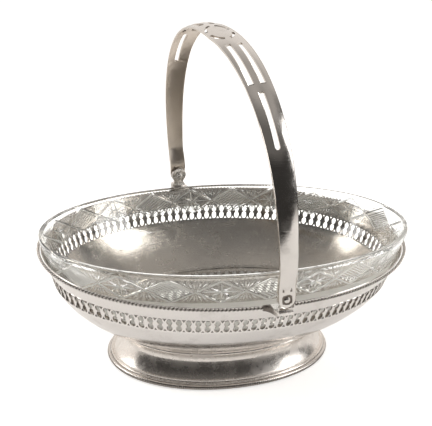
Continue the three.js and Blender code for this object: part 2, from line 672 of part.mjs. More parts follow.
// Glass liner: plain edge, cut band, belly and a thick flat base
function linerGeometry() {
  const rim = station(RIM_HALF_LENGTH + LINER_OVERHANG, RIM_HALF_WIDTH - LINER_SIDE_INSET, 0);
  const bandTop = drawnIn(rim, 0, -LINER_EDGE_DEPTH);
  const bandFoot = drawnIn(rim, LINER_BAND_TAPER, bandTop.z - LINER_BAND_DEPTH);
  const depth = linerHeight - BASE_HEIGHT - LINER_FLOOR_RISE;
  const base = station(BASE_HALF_LENGTH + LINER_END_SPREAD, BASE_HALF_WIDTH + LINER_SIDE_SPREAD, -depth);
  const pull = drawnIn(bandFoot, LINER_BELLY_TAPER, bandFoot.z - LINER_BELLY_DROP);
  const curve = new THREE.QuadraticBezierCurve3(bandFoot, pull, base);
  const outside = [...curve.getPoints(LINER_BELLY_RINGS).toReversed(), bandTop, rim];
  const inside = insetStations(outside, LINER_WALL);
  inside[inside.length - 1].z = 0;
  const floor = inside[0].z + LINER_FLOOR_EXTRA;
  inside[0].z = floor;
  const under = station(0, 0, base.z);
  const middle = station(0, 0, floor);
  return ovalLathe([under, ...outside, ...inside.toReversed(), middle], LINER_SEGMENTS);
}

// Assembly
const basket = new THREE.Group();

function addPiece(parent, name, geometry, material) {
  const piece = new THREE.Mesh(geometry, material.clone());
  piece.name = name;
  parent.add(piece);
  return piece;
}

addPiece(basket, 'bowl', bowlGeometry(), plate);
addPiece(basket, 'rim_wire_left', rimWireGeometry(-1), wire);
addPiece(basket, 'rim_wire_right', rimWireGeometry(1), wire);
addPiece(basket, 'foot', footGeometry(), plate);
addPiece(basket, 'foot_border', footBorderGeometry(), wire);

// The hinge pieces are made for the +Y end and turned round for the -Y end
[['far', 0], ['near', Math.PI]].forEach(([name, turn]) => {
  const end = new THREE.Group();
  end.rotation.z = turn;
  basket.add(end);
  addPiece(end, `lug_${name}`, lugGeometry(), plate);
  addPiece(end, `rivet_${name}`, rivetGeometry(), plate);
  addPiece(end, `washer_${name}`, washerGeometry(), plate);
});

const bailGroup = new THREE.Group();
bailGroup.position.z = pivotHeight;
bailGroup.rotation.y = -THREE.MathUtils.degToRad(HANDLE_LEAN);
basket.add(bailGroup);
addPiece(bailGroup, 'handle', handleGeometry(), plate);

const liner = addPiece(basket, 'glass_liner', linerGeometry(), glass);
liner.position.set(0, -LINER_SHIFT, linerHeight);
liner.rotation.x = -THREE.MathUtils.degToRad(LINER_TILT);

export default basket;
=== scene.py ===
"""Looks of an oval swing-handled basket in plated metal: pierced gallery, twisted rim wire, spreading
foot, domed bail handle on riveted lugs and a cut glass liner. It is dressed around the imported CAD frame.
Shapes are worked out in millimetres, +Z up, and brought to metres when a piece is finished."""

import logging
from dataclasses import dataclass
from enum import Enum
from math import asin, atan2, ceil, copysign, cos, floor, hypot, pi, radians, sin, tau
from typing import Any, Callable, Iterable, Sequence

import bmesh
import bpy
import numpy as np
from mathutils import Matrix, Vector


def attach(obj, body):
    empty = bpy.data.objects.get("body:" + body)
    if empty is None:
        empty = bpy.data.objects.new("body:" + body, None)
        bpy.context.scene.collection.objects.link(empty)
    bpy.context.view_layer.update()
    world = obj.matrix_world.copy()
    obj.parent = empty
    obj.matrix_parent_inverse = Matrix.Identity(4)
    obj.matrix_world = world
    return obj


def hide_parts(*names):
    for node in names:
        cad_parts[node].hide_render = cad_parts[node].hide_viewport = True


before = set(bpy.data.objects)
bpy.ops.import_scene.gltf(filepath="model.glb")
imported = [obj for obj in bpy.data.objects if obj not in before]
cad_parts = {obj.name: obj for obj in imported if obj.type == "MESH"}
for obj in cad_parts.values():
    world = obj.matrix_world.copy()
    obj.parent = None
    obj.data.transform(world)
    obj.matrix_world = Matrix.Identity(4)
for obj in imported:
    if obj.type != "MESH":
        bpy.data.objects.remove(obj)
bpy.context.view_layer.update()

LOG = logging.getLogger("basket")
MM = 0.001
OVAL_FULLNESS = 2.07
PHOTO_WIDTH = 432
CURVE_POINTS = 8001
LATHE_STEPS = 36
CLOSE = 1e-3
TINY = 1e-6

Triple = tuple[float, float, float]
Outline = list[tuple[float, float]]
Mesh = bmesh.types.BMesh
Face = bmesh.types.BMFace
Material = bpy.types.Material


class Body(Enum):
    """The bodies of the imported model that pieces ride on."""

    BASKET = "basket"
    BAIL = "bail"
    LINER = "liner"


class Slot(Enum):
    """The record's material slots."""

    PLATE = "plate"
    WIRE = "wire"
    HINGE = "hinge"
    GLASS = "glass"


# Ovals, profiles and lengths


def clamp(value: float) -> float:
    """The value, held between 0 and 1."""
    return min(max(value, 0.0), 1.0)


def arc(start: float, stop: float, steps: int) -> list[float]:
    """Angles in radians, from start to stop, which are given in degrees; both are included."""
    return [radians(start + (stop - start) * i / steps) for i in range(steps + 1)]


def arc_lengths(points: Sequence[Any]) -> np.ndarray:
    """How far along a line each of its points lies."""
    steps = np.linalg.norm(np.diff(np.array(points), axis=0), axis=1)
    return np.concatenate([[0], np.cumsum(steps)])


@dataclass(frozen=True)
class Ring:
    """One oval level of the basket: half length along X, half width along Y, and height."""

    length: float
    width: float
    height: float

    def drawn_in(self, distance: float, height: float) -> "Ring":
        """The same ring, drawn in on every side, at another height."""
        return Ring(self.length - distance, self.width - distance, height)

    def toward(self, other: "Ring", share: float) -> "Ring":
        """The ring that lies a share of the way to another one."""
        pairs = (self.length, other.length), (self.width, other.width), (self.height, other.height)
        return Ring(*(near + (far - near) * share for near, far in pairs))

    def pole(self) -> "Ring":
        """The middle of the ring, as a ring without size."""
        return Ring(0.0, 0.0, self.height)

    def point(self, turn: float) -> Vector:
        """The ring's point.

        Args:
            turn: from 0 to 1, counted from +X towards +Y.
        Returns:
            The point.
        """
        along, across = cos(turn * tau), sin(turn * tau)
        power = 2 / OVAL_FULLNESS
        x = self.length * copysign(abs(along) ** power, along)
        y = self.width * copysign(abs(across) ** power, across)
        return Vector((x, y, self.height))

    def outward(self, turn: float) -> Vector:
        """The level direction square to the ring at a turn."""
        step = 1e-4
        run = self.point(turn + step) - self.point(turn - step)
        return Vector((run.y, -run.x, 0)).normalized()


class EvenRing:
    """A ring measured by its own length, so that work round it is evenly spaced."""

    def __init__(self, ring: Ring) -> None:
        """Args: ring, the oval that is measured."""
        self.turns = np.linspace(0, 1, CURVE_POINTS)
        self.arcs = arc_lengths([ring.point(t) for t in self.turns])
        self.length = float(self.arcs[-1])

    def turn(self, share: float) -> float:
        """The turn at a share of the ring's length."""
        whole = np.floor(share)
        return float(np.interp((share - whole) * self.length, self.arcs, self.turns) + whole)

    def share(self, turn: float) -> float:
        """The share of the ring's length at a turn."""
        return float(np.interp(turn % 1, self.turns, self.arcs) / self.length)


def bezier(start: Ring, pull: Ring, end: Ring, steps: int) -> list[Ring]:
    """Stations on a curved profile.

    Args:
        start, pull, end: the curve's first, controlling and last stations.
        steps: how many parts the curve is cut into.
    Returns:
        The stations from start to end, both included.
    """
    shares = [i / steps for i in range(steps + 1)]
    return [start.toward(pull, s).toward(pull.toward(end, s), s) for s in shares]


def drawn_inside(stations: Sequence[Ring], wall: float) -> list[Ring]:
    """The inner side of a wall.

    Args:
        stations: the outer side, from the base up.
        wall: its thickness.
    Returns:
        The stations moved square to the profile.
    """
    moved = []
    for i, ring in enumerate(stations):
        before, after = stations[max(i - 1, 0)], stations[min(i + 1, len(stations) - 1)]
        run = Vector((after.length - before.length, after.height - before.height)).normalized()
        moved.append(ring.drawn_in(run.y * wall, ring.height + run.x * wall))
    return moved


# Mesh helpers


def half_sizes(bm: Mesh) -> tuple[Any, Any]:
    """The two layers that keep each point's half length and half width while a profile is spun."""
    layers = bm.verts.layers.float
    return tuple(layers.get(name) or layers.new(name) for name in ("half_length", "half_width"))


def spin_profile(bm: Mesh, stations: Sequence[Ring], steps: int, closed: bool = False,
                 cuts: int = 0) -> None:
    """Spins a profile once round the upright axis.

    Args:
        bm: the mesh that receives the surface.
        stations: the profile's levels; their half sizes are kept for to_oval.
        steps: how many parts the turn has.
        closed: whether the last station joins the first.
        cuts: how often each part is cut again.
    """
    lengths, widths = half_sizes(bm)
    verts = []
    for ring in stations:
        vert = bm.verts.new((ring.length, 0, ring.height))
        vert[lengths], vert[widths] = ring.length, ring.width
        verts.append(vert)
    pairs = list(zip(verts, verts[1:])) + ([(verts[-1], verts[0])] if closed else [])
    edges = [bm.edges.new(pair) for pair in pairs]
    bmesh.ops.spin(bm, geom=verts + edges, cent=(0, 0, 0), axis=(0, 0, 1), angle=tau, steps=steps,
                   use_merge=True)
    if cuts:
        same = lambda a, b: abs(a[lengths] - b[lengths]) < TINY and abs(a.co.z - b.co.z) < TINY
        bmesh.ops.subdivide_edges(bm, edges=[e for e in bm.edges if same(*e.verts)], cuts=cuts)


def to_oval(bm: Mesh, turn_of: Callable[[float], float] = lambda share: share) -> None:
    """Draws spun round work out to the oval.

    Args:
        bm: the spun mesh.
        turn_of: gives the oval's turn for a share of the spin.
    """
    lengths, widths = half_sizes(bm)
    known: dict[float, float] = {}
    for vert in bm.verts:
        if vert[lengths] < TINY:
            continue
        share = round((atan2(vert.co.y, vert.co.x) / tau) % 1, 7)
        if share not in known:
            known[share] = turn_of(share)
        vert.co = Ring(vert[lengths], vert[widths], vert.co.z).point(known[share])


def chamfer(bm: Mesh, faces: Iterable[Face], width: float, sink: Vector,
            keep: Callable[[Vector], bool] = lambda point: False) -> None:
    """Breaks the sharp rim of a flat region of a slab.

    Args:
        bm: the mesh.
        faces: the region, all of one flat side.
        width: how far the break reaches into the region.
        sink: how far the old rim moves into the slab.
        keep: names the rim points that stay where they are.
    """
    region = list(faces)
    inside = set(region)
    rim = {v for f in region for e in f.edges if any(g not in inside for g in e.link_faces) for v in e.verts}
    rim = {v for v in rim if not keep(v.co)}
    bmesh.ops.inset_region(bm, faces=region, thickness=width, use_even_offset=True, use_boundary=False)
    for vert in rim:
        vert.co += sink


def whole(bm: Mesh) -> list[Any]:
    """Every vertex, edge and face of a mesh."""
    return bm.verts[:] + bm.edges[:] + bm.faces[:]


def move(bm: Mesh, way: Sequence[float]) -> None:
    """Moves a whole mesh."""
    bmesh.ops.translate(bm, vec=way, verts=bm.verts)


def turn_about(bm: Mesh, degrees: float, axis: str) -> None:
    """Turns a whole mesh about an axis through the origin."""
    bmesh.ops.rotate(bm, cent=(0, 0, 0), matrix=Matrix.Rotation(radians(degrees), 3, axis), verts=bm.verts)


def draw_line(bm: Mesh, points: Iterable[Sequence[float]],
              closed: bool = True) -> list[bmesh.types.BMEdge]:
    """Draws a line from point to point.

    Args:
        bm: the mesh that receives it.
        points: its corners.
        closed: whether its ends join.
    Returns:
        Its edges.
    """
    verts = [bm.verts.new(point) for point in points]
    ends = [(verts[-1], verts[0])] if closed else []
    return [bm.edges.new(pair) for pair in (*zip(verts, verts[1:]), *ends)]


def make_slab(bm: Mesh, faces: Sequence[Face], way: Triple) -> list[Face]:
    """Gives a flat sheet its second side and its edges.

    Args:
        bm: the mesh.
        faces: the sheet, which stays as the first side.
        way: from the first side to the second.
    Returns:
        The faces of the second side.
    """
    grown = bmesh.ops.extrude_face_region(bm, geom=faces, use_keep_orig=True)["geom"]
    bmesh.ops.translate(bm, vec=way, verts=[part for part in grown if isinstance(part, bmesh.types.BMVert)])
    return [part for part in grown if isinstance(part, Face)]


def repeat_along(bm: Mesh, pitch: float, copies: int) -> None:
    """Copies a flat mesh along X.

    Args:
        bm: the mesh.
        pitch: how far apart the copies lie.
        copies: how many are added.
    """
    bmesh.ops.spin(bm, geom=whole(bm), cent=(0, 0, 0), axis=(0, 0, 1), dvec=(pitch, 0, 0), angle=0,
                   steps=copies, use_duplicate=True)


def lathe(profile: Sequence[tuple[float, float]], side: int, closed: bool = False) -> Mesh:
    """Turns a profile round the Y axis.

    Args:
        profile: radii and distances outwards from the middle of the basket.
        side: -1 for work at -Y, 1 for work at +Y.
        closed: whether the profile's ends join.
    Returns:
        The turned mesh.
    """
    bm = bmesh.new()
    edges = draw_line(bm, [(radius, side * out, 0) for radius, out in profile], closed)
    bmesh.ops.spin(bm, geom=bm.verts[:] + edges, cent=(0, 0, 0), axis=(0, 1, 0), angle=tau, steps=LATHE_STEPS,
                   use_merge=True)
    return bm


def join(bm: Mesh, other: Mesh) -> None:
    """Adds a mesh to another one, with the layers that both have.

    Args:
        bm: the mesh that grows.
        other: the mesh that is added and used up.
    """
    mesh = bpy.data.meshes.new("joined")
    other.to_mesh(mesh)
    other.free()
    bm.from_mesh(mesh)
    bpy.data.meshes.remove(mesh)


def link_object(name: str, data: Any) -> bpy.types.Object:
    """A new object that is linked to the scene."""
    made = bpy.data.objects.new(name, data)
    bpy.context.scene.collection.objects.link(made)
    return made


@dataclass
class Piece:
    """A finished part of the basket, which becomes one mesh object."""

    name: str
    body: Body
    slot: Slot
    replaces: str
    material: Material
    sharp: float = 32.0
    merge: float = 1e-3

    def finish(self, bm: Mesh, recalculate: bool = True) -> bpy.types.Object:
        """Args:
            bm: the mesh in millimetres, which is used up.
            recalculate: whether the faces are made to point outwards again.
        Returns:
            The new object.
        """
        bmesh.ops.remove_doubles(bm, verts=bm.verts, dist=self.merge)
        bmesh.ops.dissolve_degenerate(bm, edges=bm.edges, dist=self.merge / 4)
        if recalculate:
            bmesh.ops.recalc_face_normals(bm, faces=bm.faces)
        bmesh.ops.scale(bm, vec=(MM, MM, MM), verts=bm.verts)
        open_edges = sum(1 for e in bm.edges if len(e.link_faces) != 2)
        for face in bm.faces:
            face.smooth = True
        mesh = bpy.data.meshes.new(self.name)
        bm.to_mesh(mesh)
        bm.free()
        mesh.set_sharp_from_angle(angle=radians(self.sharp))
        mesh.materials.append(self.material)
        piece = link_object(self.name, mesh)
        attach(piece, self.body.value)
        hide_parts(self.replaces)
        triangles = sum(len(p.vertices) - 2 for p in mesh.polygons)
        LOG.info("%s: %d triangles, %d open edges", self.name, triangles, open_edges)
        return piece


# Shader helpers


class Socket:
    """One socket of a node tree, with the operators that turn expressions into Math nodes."""

    def __init__(self, tree: "Nodes", socket: bpy.types.NodeSocket) -> None:
        """Args: tree, the nodes it belongs to; socket, what it wraps."""
        self.tree = tree
        self.socket = socket

    def math(self, operation: str, *others: "Socket | float") -> "Socket":
        """This value with others, through one Math node."""
        values = {i: v for i, v in enumerate((self, *others))}
        return self.tree.add("ShaderNodeMath", {"operation": operation}, values)[0]

    def reflected(self, operation: str, first: "Socket | float") -> "Socket":
        """A Math node whose first value is another one."""
        return self.tree.add("ShaderNodeMath", {"operation": operation}, {0: first, 1: self})[0]

    def __add__(self, other: "Socket | float") -> "Socket":
        """self + other"""
        return self.math("ADD", other)

    __radd__ = __add__

    def __sub__(self, other: "Socket | float") -> "Socket":
        """self - other"""
        return self.math("SUBTRACT", other)

    def __rsub__(self, other: "Socket | float") -> "Socket":
        """other - self"""
        return self.reflected("SUBTRACT", other)

    def __mul__(self, other: "Socket | float") -> "Socket":
        """self * other"""
        return self.math("MULTIPLY", other)

    __rmul__ = __mul__

    def __abs__(self) -> "Socket":
        """The size of the value."""
        return self.math("ABSOLUTE")

    def least(self, other: "Socket | float") -> "Socket":
        """The smaller of two values."""
        return self.math("MINIMUM", other)

    def most(self, other: "Socket | float") -> "Socket":
        """The larger of two values."""
        return self.math("MAXIMUM", other)

    def step(self, low: float, high: float, start: float = 0.0, end: float = 1.0) -> "Socket":
        """Smoothly from start to end while the value goes from low to high."""
        values = {"Value": self, "From Min": low, "From Max": high, "To Min": start, "To Max": end}
        return self.tree.add("ShaderNodeMapRange", {"interpolation_type": "SMOOTHSTEP"}, values)[0]


class Nodes:
    """A node tree, and the one method that adds nodes to it."""

    def __init__(self, owner: Material | bpy.types.World | bpy.types.Light) -> None:
        """Args: owner, what the tree shades."""
        owner.use_nodes = True
        self.tree = owner.node_tree
        self.tree.nodes.clear()

    def add(self, kind: str, settings: dict[str, Any] | None = None,
            values: dict[int | str, Any] | None = None) -> list[Socket]:
        """Adds a node.

        Args:
            kind: the node's type.
            settings: its own settings; a colour ramp's "stops" are (place, colour) pairs.
            values: numbers, colours or sockets for its inputs, by name or number.
        Returns:
            Its live outputs, in order.
        """
        node = self.tree.nodes.new(kind)
        for name, value in (settings or {}).items():
            if name == "stops":
                ramp = node.color_ramp.elements
                while len(ramp) < len(value):
                    ramp.new(0.5)
                for element, (place, colour) in zip(ramp, value):
                    element.position = place
                    element.color = (*colour, 1.0)[:4]
            else:
                setattr(node, name, value)
        live = [s for s in node.inputs if s.enabled]
        for name, value in (values or {}).items():
            socket = live[name] if isinstance(name, int) else next(s for s in live if s.name == name)
            if isinstance(value, Socket):
                self.tree.links.new(value.socket, socket)
            elif isinstance(value, tuple) and len(value) == 3 and len(socket.default_value) == 4:
                socket.default_value = (*value, 1.0)
            else:
                socket.default_value = value
        return [Socket(self, s) for s in node.outputs if s.enabled]

    def colour(self, factor: Socket | float, first: Any, second: Any, blend: str = "MIX") -> Socket:
        """A mix of two colours."""
        return self.add("ShaderNodeMix", {"data_type": "RGBA", "blend_type": blend},
                        {"Factor": factor, "A": first, "B": second})[0]

    def noise(self, place: Socket, scale: float, detail: float = 3.0, rough: float = 0.55) -> Socket:
        """Cloudy noise from 0 to 1."""
        values = {"Vector": place, "Scale": scale, "Detail": detail, "Roughness": rough}
        return self.add("ShaderNodeTexNoise", {}, values)[0]

    def moved(self, place: Socket, turn: Triple, scale: Triple) -> Socket:
        """Coordinates turned and scaled."""
        return self.add("ShaderNodeMapping", {}, {"Vector": place, "Rotation": turn, "Scale": scale})[0]

    def mixed(self, factor: Socket | float, first: Socket, second: Socket) -> Socket:
        """A mix of two shaders."""
        return self.add("ShaderNodeMixShader", {}, {0: factor, 1: first, 2: second})[0]

    def marked(self, name: str) -> Socket:
        """The number that a layer of the mesh holds."""
        return self.add("ShaderNodeAttribute", {"attribute_name": name})[2]

    def bump(self, height: Socket, strength: float, distance: float, below: Socket | None = None) -> Socket:
        """A Bump node over a height, on top of another one."""
        values = {"Height": height, "Strength": strength, "Distance": distance}
        if below is not None:
            values["Normal"] = below
        return self.add("ShaderNodeBump", {}, values)[0]


# Finishes


@dataclass(frozen=True)
class PlateFinish:
    """Silver plate with a soft old polish, worn a little, with tarnish, and with painted shade in its hollows.

    Noise scales are per metre. A set of scratches is a turn, and how dense they are along and across it.
    Flanks are the distances from the middle, in metres, between which the sides of a casting are darkened as
    painted shade.
    """

    name: str
    bright: Triple = (0.80, 0.765, 0.735)
    dull: Triple = (0.50, 0.455, 0.41)
    # Painted shade colour, for the marked hollows and for the flanks of a casting.
    painted_shade: Triple = (0.10, 0.08, 0.065)
    polish: float = 0.13
    wear: float = 0.10
    stain_wear: float = 0.12
    scratch_wear: float = 0.03
    tarnish: float = 0.5
    freckling: float = 0.35
    grain: float = 1.0
    cloud_scale: float = 26.0
    patch_scale: float = 95.0
    speck_scale: float = 900.0
    scratches: float = 0.35
    scratch_depth: float = 0.00002
    scratch_sets: tuple[Triple, ...] = ((0.35, 9.0, 1300.0), (1.45, 14.0, 900.0), (2.5, 7.0, 1700.0))
    dents: float = 0.12
    dent_scale: float = 60.0
    dent_depth: float = 0.0008
    inner_polish: float = 0.0
    # Tone of the inner side: painted shade on the bowl, tarnish on the handle.
    inner_tarnish_and_shade: Triple = (1.0, 1.0, 1.0)
    # How strongly the marked hollows take the painted shade.
    hollows: float = 0.0
    # Painted shade on the sides of a casting, and how strong it is.
    flanks: tuple[float, ...] = ()
    flank_shade: float = 0.9

    def scratched(self, nodes: Nodes, place: Socket) -> Socket:
        """Fine scratches in three directions.

        Args:
            nodes: the material's nodes.
            place: the coordinates.
        Returns:
            0 beside the scratches, and 1 more in each of them.
        """
        cuts = []
        for turn, along, across in self.scratch_sets:
            drawn_out = nodes.moved(place, (turn, turn * 0.7, turn), (along, along, across))
            cuts.append(nodes.noise(drawn_out, 1.0, 1.0).step(0.66, 0.74))
        return cuts[0] + cuts[1] + cuts[2]

    def material(self) -> Material:
        """Builds the plate.

        Returns:
            The material.
        """
        material = bpy.data.materials.new(self.name)
        nodes = Nodes(material)
        place = nodes.add("ShaderNodeTexCoord")[3]
        clouds = nodes.noise(place, self.cloud_scale, 5.0)
        patches = nodes.noise(place, self.patch_scale * self.grain, 4.0, 0.6)
        specks = nodes.noise(place, self.speck_scale * self.grain, 2.0)
        stain = (clouds * 0.55 + patches * 0.45).step(0.5, 0.72) * self.tarnish
        freckles = specks.step(0.62, 0.72) * clouds.step(0.42, 0.6) * self.freckling
        tone = nodes.colour((stain + freckles).least(1.0), self.bright, self.dull)
        height = self.scratched(nodes, place)
        normal = nodes.bump(height, self.scratches, self.scratch_depth)
        normal = nodes.bump(nodes.noise(place, self.dent_scale, 2.0), self.dents, self.dent_depth, normal)
        worn = patches.step(0.35, 0.75) * self.wear
        rough = self.polish + worn + stain * self.stain_wear + height * self.scratch_wear
        # The inner side's own polish and tone: painted shade on the bowl, tarnish on the handle.
        if self.inner_polish:
            inner = nodes.marked("inner")
            rough = rough + inner * (self.inner_polish - self.polish)
            tone = nodes.colour(inner, tone, nodes.colour(1.0, tone, self.inner_tarnish_and_shade, "MULTIPLY"))
        # Painted shade in the marked hollows: hole walls, grooves, ticks, recesses and notches.
        if self.hollows:
            tone = nodes.colour(nodes.marked("hollow").step(0.04, 0.45) * self.hollows, tone, self.painted_shade)
        # Painted shade on the sides of a casting, between the flank distances.
        if self.flanks:
            off = abs(nodes.add("ShaderNodeSeparateXYZ", {}, {0: place})[0])
            shade = off.step(*self.flanks[:2]) * off.step(*self.flanks[2:], 1.0, 0.0)
            tone = nodes.colour(shade * self.flank_shade, tone, self.painted_shade)
        shader = nodes.add("ShaderNodeBsdfPrincipled", {}, {
            "Base Color": tone, "Metallic": 1.0, "Roughness": rough, "Normal": normal})[0]
        nodes.add("ShaderNodeOutputMaterial", {}, {"Surface": shader})
        return material


@dataclass(frozen=True)
class CutGlassFinish:
    """Cut glass: clear, slightly waved and worn, and milky where the mesh's layer says so; that milk is partly
    haze and partly painted light.
    """

    name: str
    tint: Triple = (0.985, 0.99, 0.975)
    shadow: Triple = (0.93, 0.94, 0.92)
    # Colour of the milky haze, which is partly painted light.
    haze_and_painted_light_colour: Triple = (0.95, 0.935, 0.90)
    haze_and_painted_light_share: float = 0.45
    index: float = 1.5
    polish: float = 0.012
    wear: float = 0.05
    wear_scale: float = 140.0
    waves: float = 0.2
    wave_scale: float = 30.0
    wave_depth: float = 0.001

    def material(self) -> Material:
        """Builds the glass.

        Returns:
            The material.
        """
        material = bpy.data.materials.new(self.name)
        nodes = Nodes(material)
        place = nodes.add("ShaderNodeTexCoord")[3]
        normal = nodes.bump(nodes.noise(place, self.wave_scale, 2.0), self.waves, self.wave_depth)
        rough = self.polish + nodes.noise(place, self.wear_scale, 3.0).step(0.55, 0.8) * self.wear
        glass = nodes.add("ShaderNodeBsdfPrincipled", {}, {
            "Base Color": self.tint, "Roughness": rough, "IOR": self.index, "Transmission Weight": 1.0,
            "Normal": normal})[0]
        kinds = ("ShaderNodeBsdfDiffuse", "ShaderNodeBsdfTranslucent")
        haze_and_painted_light_shader = nodes.mixed(0.5, *(nodes.add(kind, {}, {"Color": self.haze_and_painted_light_colour})[0] for kind in kinds))
        # Milky haze mixed in by the mesh's layer: partly haze, partly painted light.
        glass = nodes.mixed(nodes.marked("frost") * self.haze_and_painted_light_share, glass, haze_and_painted_light_shader)
        clear = nodes.add("ShaderNodeBsdfTransparent", {}, {"Color": self.shadow})[0]
        in_shadow = nodes.add("ShaderNodeLightPath")[1]
        nodes.add("ShaderNodeOutputMaterial", {}, {"Surface": nodes.mixed(in_shadow, glass, clear)})
        return material


# The bowl's darker inner tone is painted shade and the handle's browner one is tarnish; hollows get painted
# shade.
PLATE = PlateFinish("silver_plate", inner_polish=0.19, inner_tarnish_and_shade=(0.66, 0.625, 0.585), hollows=0.85)
HANDLE_PLATE = PlateFinish("handle_plate", bright=(0.70, 0.665, 0.63), tarnish=0.35, inner_polish=0.3,
                           inner_tarnish_and_shade=(0.98, 0.91, 0.83), hollows=0.9)
FOOT_PLATE = PlateFinish("foot_plate", bright=(0.84, 0.79, 0.74), tarnish=0.35, polish=0.23)
WIRE_PLATE = PlateFinish("rim_wire_plate", bright=(0.70, 0.66, 0.62), polish=0.2, grain=2.0, hollows=0.95)
# The lug's flanks are darkened as painted shade.
HINGE_PLATE = PlateFinish("hinge_plate", bright=(0.78, 0.745, 0.71), polish=0.22, grain=2.0,
                          flanks=(0.0062, 0.0075, 0.012, 0.0128))
LINER_GLASS = CutGlassFinish("liner_glass")


# The bowl and its wire


@dataclass
class Bowl:
    """The bowl's one sheet, its band, pierced gallery and belly, and the twisted wire round its rim.

    A taper is how far the oval draws in over a stretch's depth. Notches have a width and a depth.
    """

    rim: Ring = Ring(148.0, 112.1, 97.6)
    sheet: float = 1.2
    lip: float = 0.35
    band_depth: float = 13.0
    band_taper: float = 5.8
    gallery_depth: float = 13.2
    gallery_taper: float = 4.4
    belly_drop: float = 24.0
    belly_taper: float = 14.0
    base: Ring = Ring(83.8, 57.2, 29.6)
    belly_steps: int = 26
    band_steps: int = 4
    shoulder: float = 0.1
    holes: int = 112
    margin: float = 0.9
    bar: float = 2.7
    waist: float = 1.25
    upper_share: float = 0.48
    lobe_steps: int = 5
    notch_top: tuple[float, float] = (2.5, 2.1)
    notch_foot: tuple[float, float] = (2.5, 2.1)
    edge_break: float = 0.22
    seam_merge: float = 5e-3
    wire_radius: float = 1.4
    wire_gap: float = 0.25
    wire_strands: int = 2
    wire_pitch: float = 5.8
    wire_sides: int = 20
    wire_step: float = 0.42
    wire_groove: float = 0.36
    wire_roundness: float = 0.8
    lug_reach: float = 12.8

    def __post_init__(self) -> None:
        """Works out the levels and the spacing round the gallery."""
        self.top = self.rim.drawn_in(self.band_taper, self.rim.height - self.band_depth)
        self.foot = self.top.drawn_in(self.gallery_taper, self.top.height - self.gallery_depth)
        self.even = EvenRing(self.top)
        self.slope = hypot(self.gallery_depth, self.gallery_taper)
        self.pitch = self.even.length / self.holes

    def profile(self) -> tuple[list[Ring], list[Ring]]:
        """The bowl's wall.

        Returns:
            The outer and the inner stations, from the flat under the bowl up to the rim.
        """
        pull = self.foot.drawn_in(self.belly_taper, self.foot.height - self.belly_drop)
        belly = bezier(self.foot, pull, self.base, self.belly_steps)[::-1]
        outer = belly + [self.top.toward(self.rim, i / self.band_steps) for i in range(self.band_steps + 1)]
        inner = drawn_inside(outer, self.sheet)
        inner[-1] = Ring(inner[-1].length, inner[-1].width, self.rim.height)
        return outer, inner

    def figure_eight(self) -> Outline:
        """The right side of a hole in the gallery.

        Returns:
            Distances from the hole's middle line and levels, from the top down.
        """
        lobe = (self.pitch - self.bar) / 2
        turn = pi - asin(self.waist / 2 / lobe)
        low, high = self.margin, self.slope - self.margin
        neck = high - (high - low) * self.upper_share
        upper = (high - neck) / (1 - cos(turn))
        lower = (neck - low) / (1 - cos(turn))
        turns = [turn * i / self.lobe_steps for i in range(self.lobe_steps + 1)]
        side = [(lobe * sin(t), high - upper * (1 - cos(t))) for t in turns]
        side += [(lobe * sin(t), low + lower * (1 - cos(t))) for t in turns[-2::-1]]
        side[0] = (0.0, high)
        side[-1] = (0.0, low)
        return side

    def notches(self) -> list[Outline]:
        """The three-cornered holes over and under the bars.

        Returns:
            One outline for each.
        """
        top, foot = self.slope - self.margin, self.margin
        (top_width, top_depth), (foot_width, foot_depth) = self.notch_top, self.notch_foot
        return [[(-top_width / 2, top), (top_width / 2, top), (0, top - top_depth)],
                [(-foot_width / 2, foot), (0, foot + foot_depth), (foot_width / 2, foot)]]

    def flat_gallery(self) -> Mesh:
        """Pierces one cell, repeats it and cuts the strip off where it meets itself.

        Returns:
            The flat strip along X, with its outer side at y = 0 and its inner one at y = 1.
        """
        bm = bmesh.new()
        half, full = self.pitch / 2, self.slope
        side = self.figure_eight()
        right = [(half - x, z) for x, z in side]
        left = [(x - half, z) for x, z in reversed(side)]
        outline = [(0, full), (half, full), *right, (half, 0), (0, 0), (-half, 0), *left, (-half, full)]
        edges = []
        for loop in (outline, *self.notches()):
            edges += draw_line(bm, [(x, 0, z) for x, z in loop])
        bmesh.ops.triangle_fill(bm, use_beauty=True, edges=edges, normal=(0, -1, 0))
        move(bm, (-half, 0, 0))
        repeat_along(bm, self.pitch, self.holes + 1)
        bmesh.ops.remove_doubles(bm, verts=bm.verts, dist=CLOSE)
        outer = bm.faces[:]
        inner = make_slab(bm, outer, (0, 1, 0))
        flat_at = lambda face, level: all(abs(vert.co.z - level) < CLOSE for vert in face.verts)
        seams = [face for face in bm.faces if flat_at(face, 0) or flat_at(face, full)]
        bmesh.ops.delete(bm, geom=seams, context="FACES")
        on_edge = lambda point: min(abs(point.z), abs(point.z - full)) < CLOSE
        chamfer(bm, outer, self.edge_break, Vector((0, self.edge_break, 0)), on_edge)
        chamfer(bm, inner, self.edge_break, Vector((0, -self.edge_break, 0)), on_edge)
        # The inner rims of the holes are marked, so that the hole walls get painted shade.
        hollow = bm.verts.layers.float.new("hollow")
        for vert in bm.verts:
            vert[hollow] = float(abs(vert.co.y - 1 + self.edge_break) < CLOSE)
        for stop, way in ((0.0, -1), (self.pitch * self.holes, 1)):
            bmesh.ops.bisect_plane(bm, geom=whole(bm), dist=CLOSE / 10, plane_co=(stop, 0, 0),
                                   plane_no=(way, 0, 0), clear_outer=True)
        return bm

    def mark_inside(self, bm: Mesh) -> None:
        """Marks the points of the bowl's inner side, which has its own polish and a darker tone that is painted
        shade.

        Args:
            bm: the bowl.
        """
        bm.normal_update()
        side = bm.verts.layers.float.new("inner")
        for vert in bm.verts:
            out = Vector((vert.co.x / self.rim.length ** 2, vert.co.y / self.rim.width ** 2, 0)).normalized()
            vert[side] = float(vert.normal.z * 0.5 > vert.normal.dot(out))

